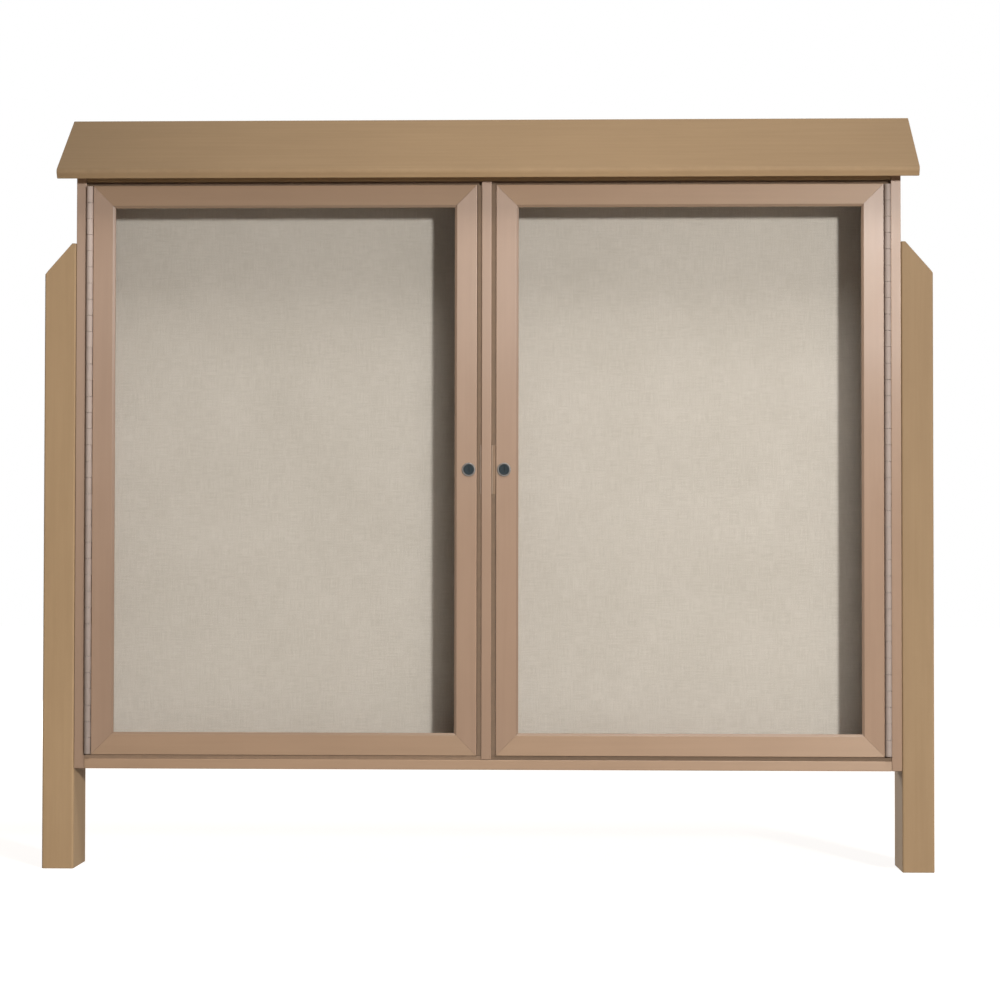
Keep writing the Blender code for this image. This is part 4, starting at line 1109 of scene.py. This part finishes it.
# %% Lock bodies, plugs and nuts
LIP_PROFILE = [
    (8.7, 0.5), (9.0, 0.1), (9.6, 0), (10.2, 0.1), (10.8, 0.5), (11.0, 1.0), (11.0, 1.8), (9.5, 1.8)]
BODY_RADIUS, BODY_BORE = 9.5, 6.4
BORE_PROFILE = [(BODY_BORE, 4.5), (8.7, 4.5)]
LIP_WORN = [0.5, 1, 1, 1, 0.7, 0.5, 0.3, 0, 0, 0, 0, 0]
PLUG_SHANK, PLUG_CAM_GAP = 6.0, 0.3
PLUG_PROFILE = [
    (PLUG_SHANK, 4.1), (8.4, 4.0), (8.4, 0.9), (8.1, 0.5), (7.5, 0.35), (7.0, 0.75), (5.4, 0.8)]
PLUG_WORN = [0, 0, 0, 0.4, 1, 1, 0.3, 0, 0.6, 0.6, 0]
KEY_HALF_WIDTH, KEY_HALF_HEIGHT, KEY_DEPTH, KEY_EASE = 1.1 * MM, 4.0 * MM, 2.2, 0.25 * MM
NUT_APOTHEM, NUT_BORE = 12.0 * MM, 9.8 * MM
NUT_CORNER, NUT_EASE = 0.8 * MM, 0.6 * MM


def make_lock(side):
    """Body, nut and plug, each turned about the plug's own axis. Returns that axis."""
    body, nut, plug, cam = (f"{side}_lock_{part}" for part in ("body", "nut", "plug", "cam"))
    plug_low, plug_high = corners_of(plug)
    axis = np.array([(plug_low[0] + plug_high[0]) / 2, 0, (plug_low[2] + plug_high[2]) / 2])
    low, high = corners_of(body)
    deep = (high[1] - low[1]) / MM
    rim = in_mm(low[1], LIP_PROFILE + [(BODY_RADIUS, deep), (BODY_BORE, deep)] + BORE_PROFILE)
    piece("bright", body, [ring_solid(axis, "y", rim, closed=True, turns=64, worn=LIP_WORN)], chrome)
    low, high = corners_of(nut)
    small, large = flats(6, NUT_APOTHEM - NUT_CORNER), flats(6, NUT_APOTHEM)
    hexagon = collar(small, large, low[1], high[1], NUT_EASE, NUT_BORE)
    piece("bright", nut, [ring_solid(axis, "y", hexagon, closed=True)], zinc)
    shank_end = (corners_of(cam)[0][1] - plug_low[1]) / MM - PLUG_CAM_GAP
    keyway = slot_radius(KEY_HALF_WIDTH, KEY_HALF_HEIGHT)
    wide_keyway = slot_radius(KEY_HALF_WIDTH + KEY_EASE, KEY_HALF_HEIGHT + KEY_EASE)
    turned = in_mm(plug_low[1], [
        (PLUG_SHANK, shank_end), *PLUG_PROFILE, (wide_keyway, 0.8), (keyway, 1.1), (keyway, KEY_DEPTH)])
    piece("dark", plug, [ring_solid(axis, "y", turned, turns=96, worn=PLUG_WORN)], plug_metal)
    return axis


print("lock profiles:", len(LIP_PROFILE) + len(BORE_PROFILE), "and", len(PLUG_PROFILE), "points")

# %% [markdown]
# The plug's end carries the cam with its screw. A real cam is stamped from plate: a flat arm, round
# about the axis and nearly square at its tip. So its outline is half a circle and four points, and that
# is carried along Y by the same helper as a board. Each side's lock and cam are made here, one after
# the other, because the cam needs the lock's axis.

# %% Cams and their screws
CAM_EASE, TIP_SLANT = 0.3 * MM, 1.5 * MM
SCREW_HEAD_RADIUS, SCREW_HEAD, SHANK_RADIUS = 4.5 * MM, 2.4 * MM, 1.6 * MM


def make_cam(side, axis):
    """The arc's points lie at axis + half x (cos t, sin t), with t over half a turn; the tip is slanted."""
    name = f"{side}_lock_cam"
    low, high = corners_of(name)
    half = (high[0] - low[0]) / 2
    left, right = axis[0] - half, axis[0] + half
    turn = np.linspace(0, math.pi, 13)
    arc = np.stack([axis[0] + half * np.cos(turn), axis[2] + half * np.sin(turn)], 1)
    tip = np.array([
        [left, low[2] + TIP_SLANT], [left + TIP_SLANT, low[2]], [right - TIP_SLANT, low[2]],
        [right, low[2] + TIP_SLANT]])
    piece("plated", name, [bar(np.concatenate([arc, tip]), 0, "xzy", low[1], high[1], CAM_EASE)], zinc)
    name = f"{side}_cam_screw"
    low, high = corners_of(name)
    seat = high[1] - SCREW_HEAD
    shank = ring_solid(axis, "y", [(SHANK_RADIUS, low[1]), (SHANK_RADIUS, seat)], turns=16)
    head = pan_head((axis[0], seat, axis[2]), "y", SCREW_HEAD_RADIUS, SCREW_HEAD)
    piece("plated", name, [head, shank], zinc)


lock_axes = {}
for side in SIDES:
    lock_axes[side] = make_lock(side)
    make_cam(side, lock_axes[side])
print("locks and cams at x:", {side: round(float(axis[0]), 4) for side, axis in lock_axes.items()})

# %% [markdown]
# The keepers are bent angles, screwed to the wall between the doors. The door's cam turns behind the
# lip. A real one starts as a flat strip and is bent in a brake. Here its section, with the rounded
# bend, is carried upward, which gives the same shape in one step, and two screws hold its leg.

# %% Keepers
KEEPER_SHEET = 2.0 * MM
KEEPER_ROUNDS = np.array([0.5, 0.5, 0.6, 0.6, 0.6, 1.8]) * MM
KEEPER_EASE = 0.3 * MM
KEEPER_SCREWS = (0.2, 0.8)              # shares of its height
KEEPER_SCREW_RADIUS, KEEPER_SCREW_HEIGHT = 3.0 * MM, 1.3 * MM
# Painted shade: the left keeper, deep in the gap, is darker.
KEEPER_PAINTED_SHADE = {"left": 0.66, "right": 1.0}


def make_keeper(side):
    """An L-shaped section, leg along the wall and lip away from it, carried from low to high in Z."""
    name = f"{side}_keeper"
    low, high = corners_of(name)
    outward = SIDES[side]
    near, tip = (low[0], high[0])[::outward]
    leg = near + outward * KEEPER_SHEET
    back = high[1] - KEEPER_SHEET
    corners = [(near, low[1]), (leg, low[1]), (leg, back), (tip, back), (tip, high[1]), (near, high[1])]
    shapes = [bar(*rounded(corners, KEEPER_ROUNDS), "xyz", low[2], high[2], KEEPER_EASE)]
    for share in KEEPER_SCREWS:
        spot = (leg, (low[1] + back) / 2, low[2] + share * (high[2] - low[2]))
        shapes.append(pan_head(spot, "x", KEEPER_SCREW_RADIUS, outward * KEEPER_SCREW_HEIGHT))
    return piece("bent", name, shapes, keeper_paint, KEEPER_PAINTED_SHADE[side])


for side in SIDES:
    make_keeper(side)
print("keepers:", len(SIDES))

# %% [markdown]
# The gaps round the doors aren't black in the photograph but brown, so something closes them just
# behind the front. On boards like this it is a strip of foam, stuck to the boards above and below each
# door and to the wall in the middle. It could be painted on as a dark line, but an open door shows that
# it has a thickness. It is thin trim without a solid of its own, so it rides with the cabinet and hides
# no node. At the keeper it starts from the keeper's leg instead of from the wall.

# %% Seals in the gaps round the doors
GAP_SEAL_SHEET, GAP_SEAL_CLEARANCE = 3.5 * MM, 0.5 * MM
TOP_SEAL_DEPTH, BOTTOM_SEAL_DEPTH, WALL_SEAL_DEPTH = 9.0 * MM, 2.0 * MM, 2.0 * MM
LEG_CLEARANCE = 0.2 * MM
GAP_SEAL_ROUND = 0.4 * MM
# Painted light and shade on the foam: the left bottom bar paler and the right one a little darker, and the
# right bar at the keeper paler.
BOTTOM_SEAL_PAINTED_TONE = {"left": 1.45, "right": 0.95}
KEEPER_SEAL_PAINTED_LIGHT = {"left": 1.0, "right": 1.45}


def make_gap_seals(side):
    """Bars of foam: low and high corners come from the boards, the wall and the door's own edges."""
    outward = SIDES[side]
    bottom, top = corners_of(f"{side}_door_bottom_rail")[0][2], corners_of(f"{side}_door_top_rail")[1][2]
    inner = corners_of(f"{side}_door_inner_stile")[outward < 0][0]
    wall = corners_of("centre_mullion")[outward > 0][0]
    panel = corners_of(f"{side}_side_panel")[outward < 0][0]
    keeper_low, keeper_high = corners_of(f"{side}_keeper")
    leg = (keeper_low, keeper_high)[outward < 0][0] + outward * (KEEPER_SHEET + LEG_CLEARANCE)
    stile_edge = inner - outward * GAP_SEAL_CLEARANCE
    bars = [
        ("x", BOTTOM_SEAL_DEPTH, wall, panel, corners_of("bottom_board")[1][2], bottom - GAP_SEAL_CLEARANCE),
        ("x", TOP_SEAL_DEPTH, wall, panel, top + GAP_SEAL_CLEARANCE, corners_of("top_board")[0][2]),
        ("z", WALL_SEAL_DEPTH, wall, stile_edge, bottom, keeper_low[2]),
        ("z", WALL_SEAL_DEPTH, leg, stile_edge, keeper_low[2], keeper_high[2]),
        ("z", WALL_SEAL_DEPTH, wall, stile_edge, keeper_high[2], top)]
    shapes = []
    for length, depth, start, end, low, high in bars:
        front, (left, right) = FACE_Y + depth, sorted((start, end))
        corners = (left, front, low), (right, front + GAP_SEAL_SHEET, high)
        shapes.append(block(*corners, length, GAP_SEAL_ROUND, SEAL_EASE))
    bar_painted_tones = [BOTTOM_SEAL_PAINTED_TONE[side], 1, 1, KEEPER_SEAL_PAINTED_LIGHT[side], 1]
    tones = np.repeat(bar_painted_tones, [len(shape["points"]) for shape in shapes])
    return piece("soft", f"{side}_gap_seals", shapes, foam, tones, trim_on=f"{side}_top_seal")


for side in SIDES:
    make_gap_seals(side)
print("gap seals:", len(SIDES))

# %% [markdown]
# Two lag screws fix each post from inside the cabinet. Only their heads show, and only with a door
# open: a hexagon on a round flange. Their lists are in millimetres from the flange's seat, and count
# along the screw, so the head's heights are negative.

# %% Lag screws
LAG_RADIUS, LAG_POINT_RADIUS, LAG_POINT = 3.8, 0.8, 6.0
LAG_HEAD = [
    (LAG_RADIUS, 0), (9.0, 0), (9.0, -1.0), (8.2, -1.5), (flats(6, 6.4 * MM), -1.6),
    (flats(6, 6.4 * MM), -3.8), (flats(6, 5.6 * MM), -4.5)]
LAG_WORN = [0, 0, 0, 0, 1, 1, 0, 1, 1]

for side, outward in SIDES.items():
    for number in (1, 2):
        name = f"{side}_post_screw_{number}"
        low, high = corners_of(name)
        head, tip = (low[0], high[0])[::outward]
        seat = head - outward * LAG_HEAD[-1][1] * MM
        long = abs(tip - seat) / MM
        lag = in_mm(seat, [(LAG_POINT_RADIUS, long), (LAG_RADIUS, long - LAG_POINT)] + LAG_HEAD, outward)
        centre = (0, (low[1] + high[1]) / 2, (low[2] + high[2]) / 2)
        piece("hex", name, [ring_solid(centre, "x", lag, worn=LAG_WORN)], zinc)
print("lag screws:", 2 * len(SIDES))

# %% [markdown]
# The back panel is held by rows of small screws into the boards that it covers: one row along the
# bottom board, one along the top board and one up the wall. A photograph of the front doesn't show
# them, but a back without a single fixing would look like a sheet that hangs in the air.

# %% Screws in the back
BACK_SCREW_RADIUS, BACK_SCREW_HEIGHT = 4.0 * MM, 1.8 * MM
BACK_SCREW_SPACING, BACK_SCREW_INSET = 160 * MM, 20 * MM
WALL_ROWS = 5

low, high = corners_of("back_panel")
columns = np.linspace(
    low[0] + BACK_SCREW_INSET, high[0] - BACK_SCREW_INSET, 1 + round((high[0] - low[0]) / BACK_SCREW_SPACING))
board_boxes = [corners_of(name) for name in ("bottom_board", "top_board")]
spots = [(x, (under[2] + over[2]) / 2) for under, over in board_boxes for x in columns]
spots += [(0.0, z) for z in np.linspace(board_boxes[0][1][2], board_boxes[1][0][2], WALL_ROWS + 2)[1:-1]]
heads = [pan_head((x, high[1], z), "y", BACK_SCREW_RADIUS, BACK_SCREW_HEIGHT, 18) for x, z in spots]
piece("back", "panel_screws", heads, zinc, trim_on="back_panel")
print("screws in the back:", len(spots))
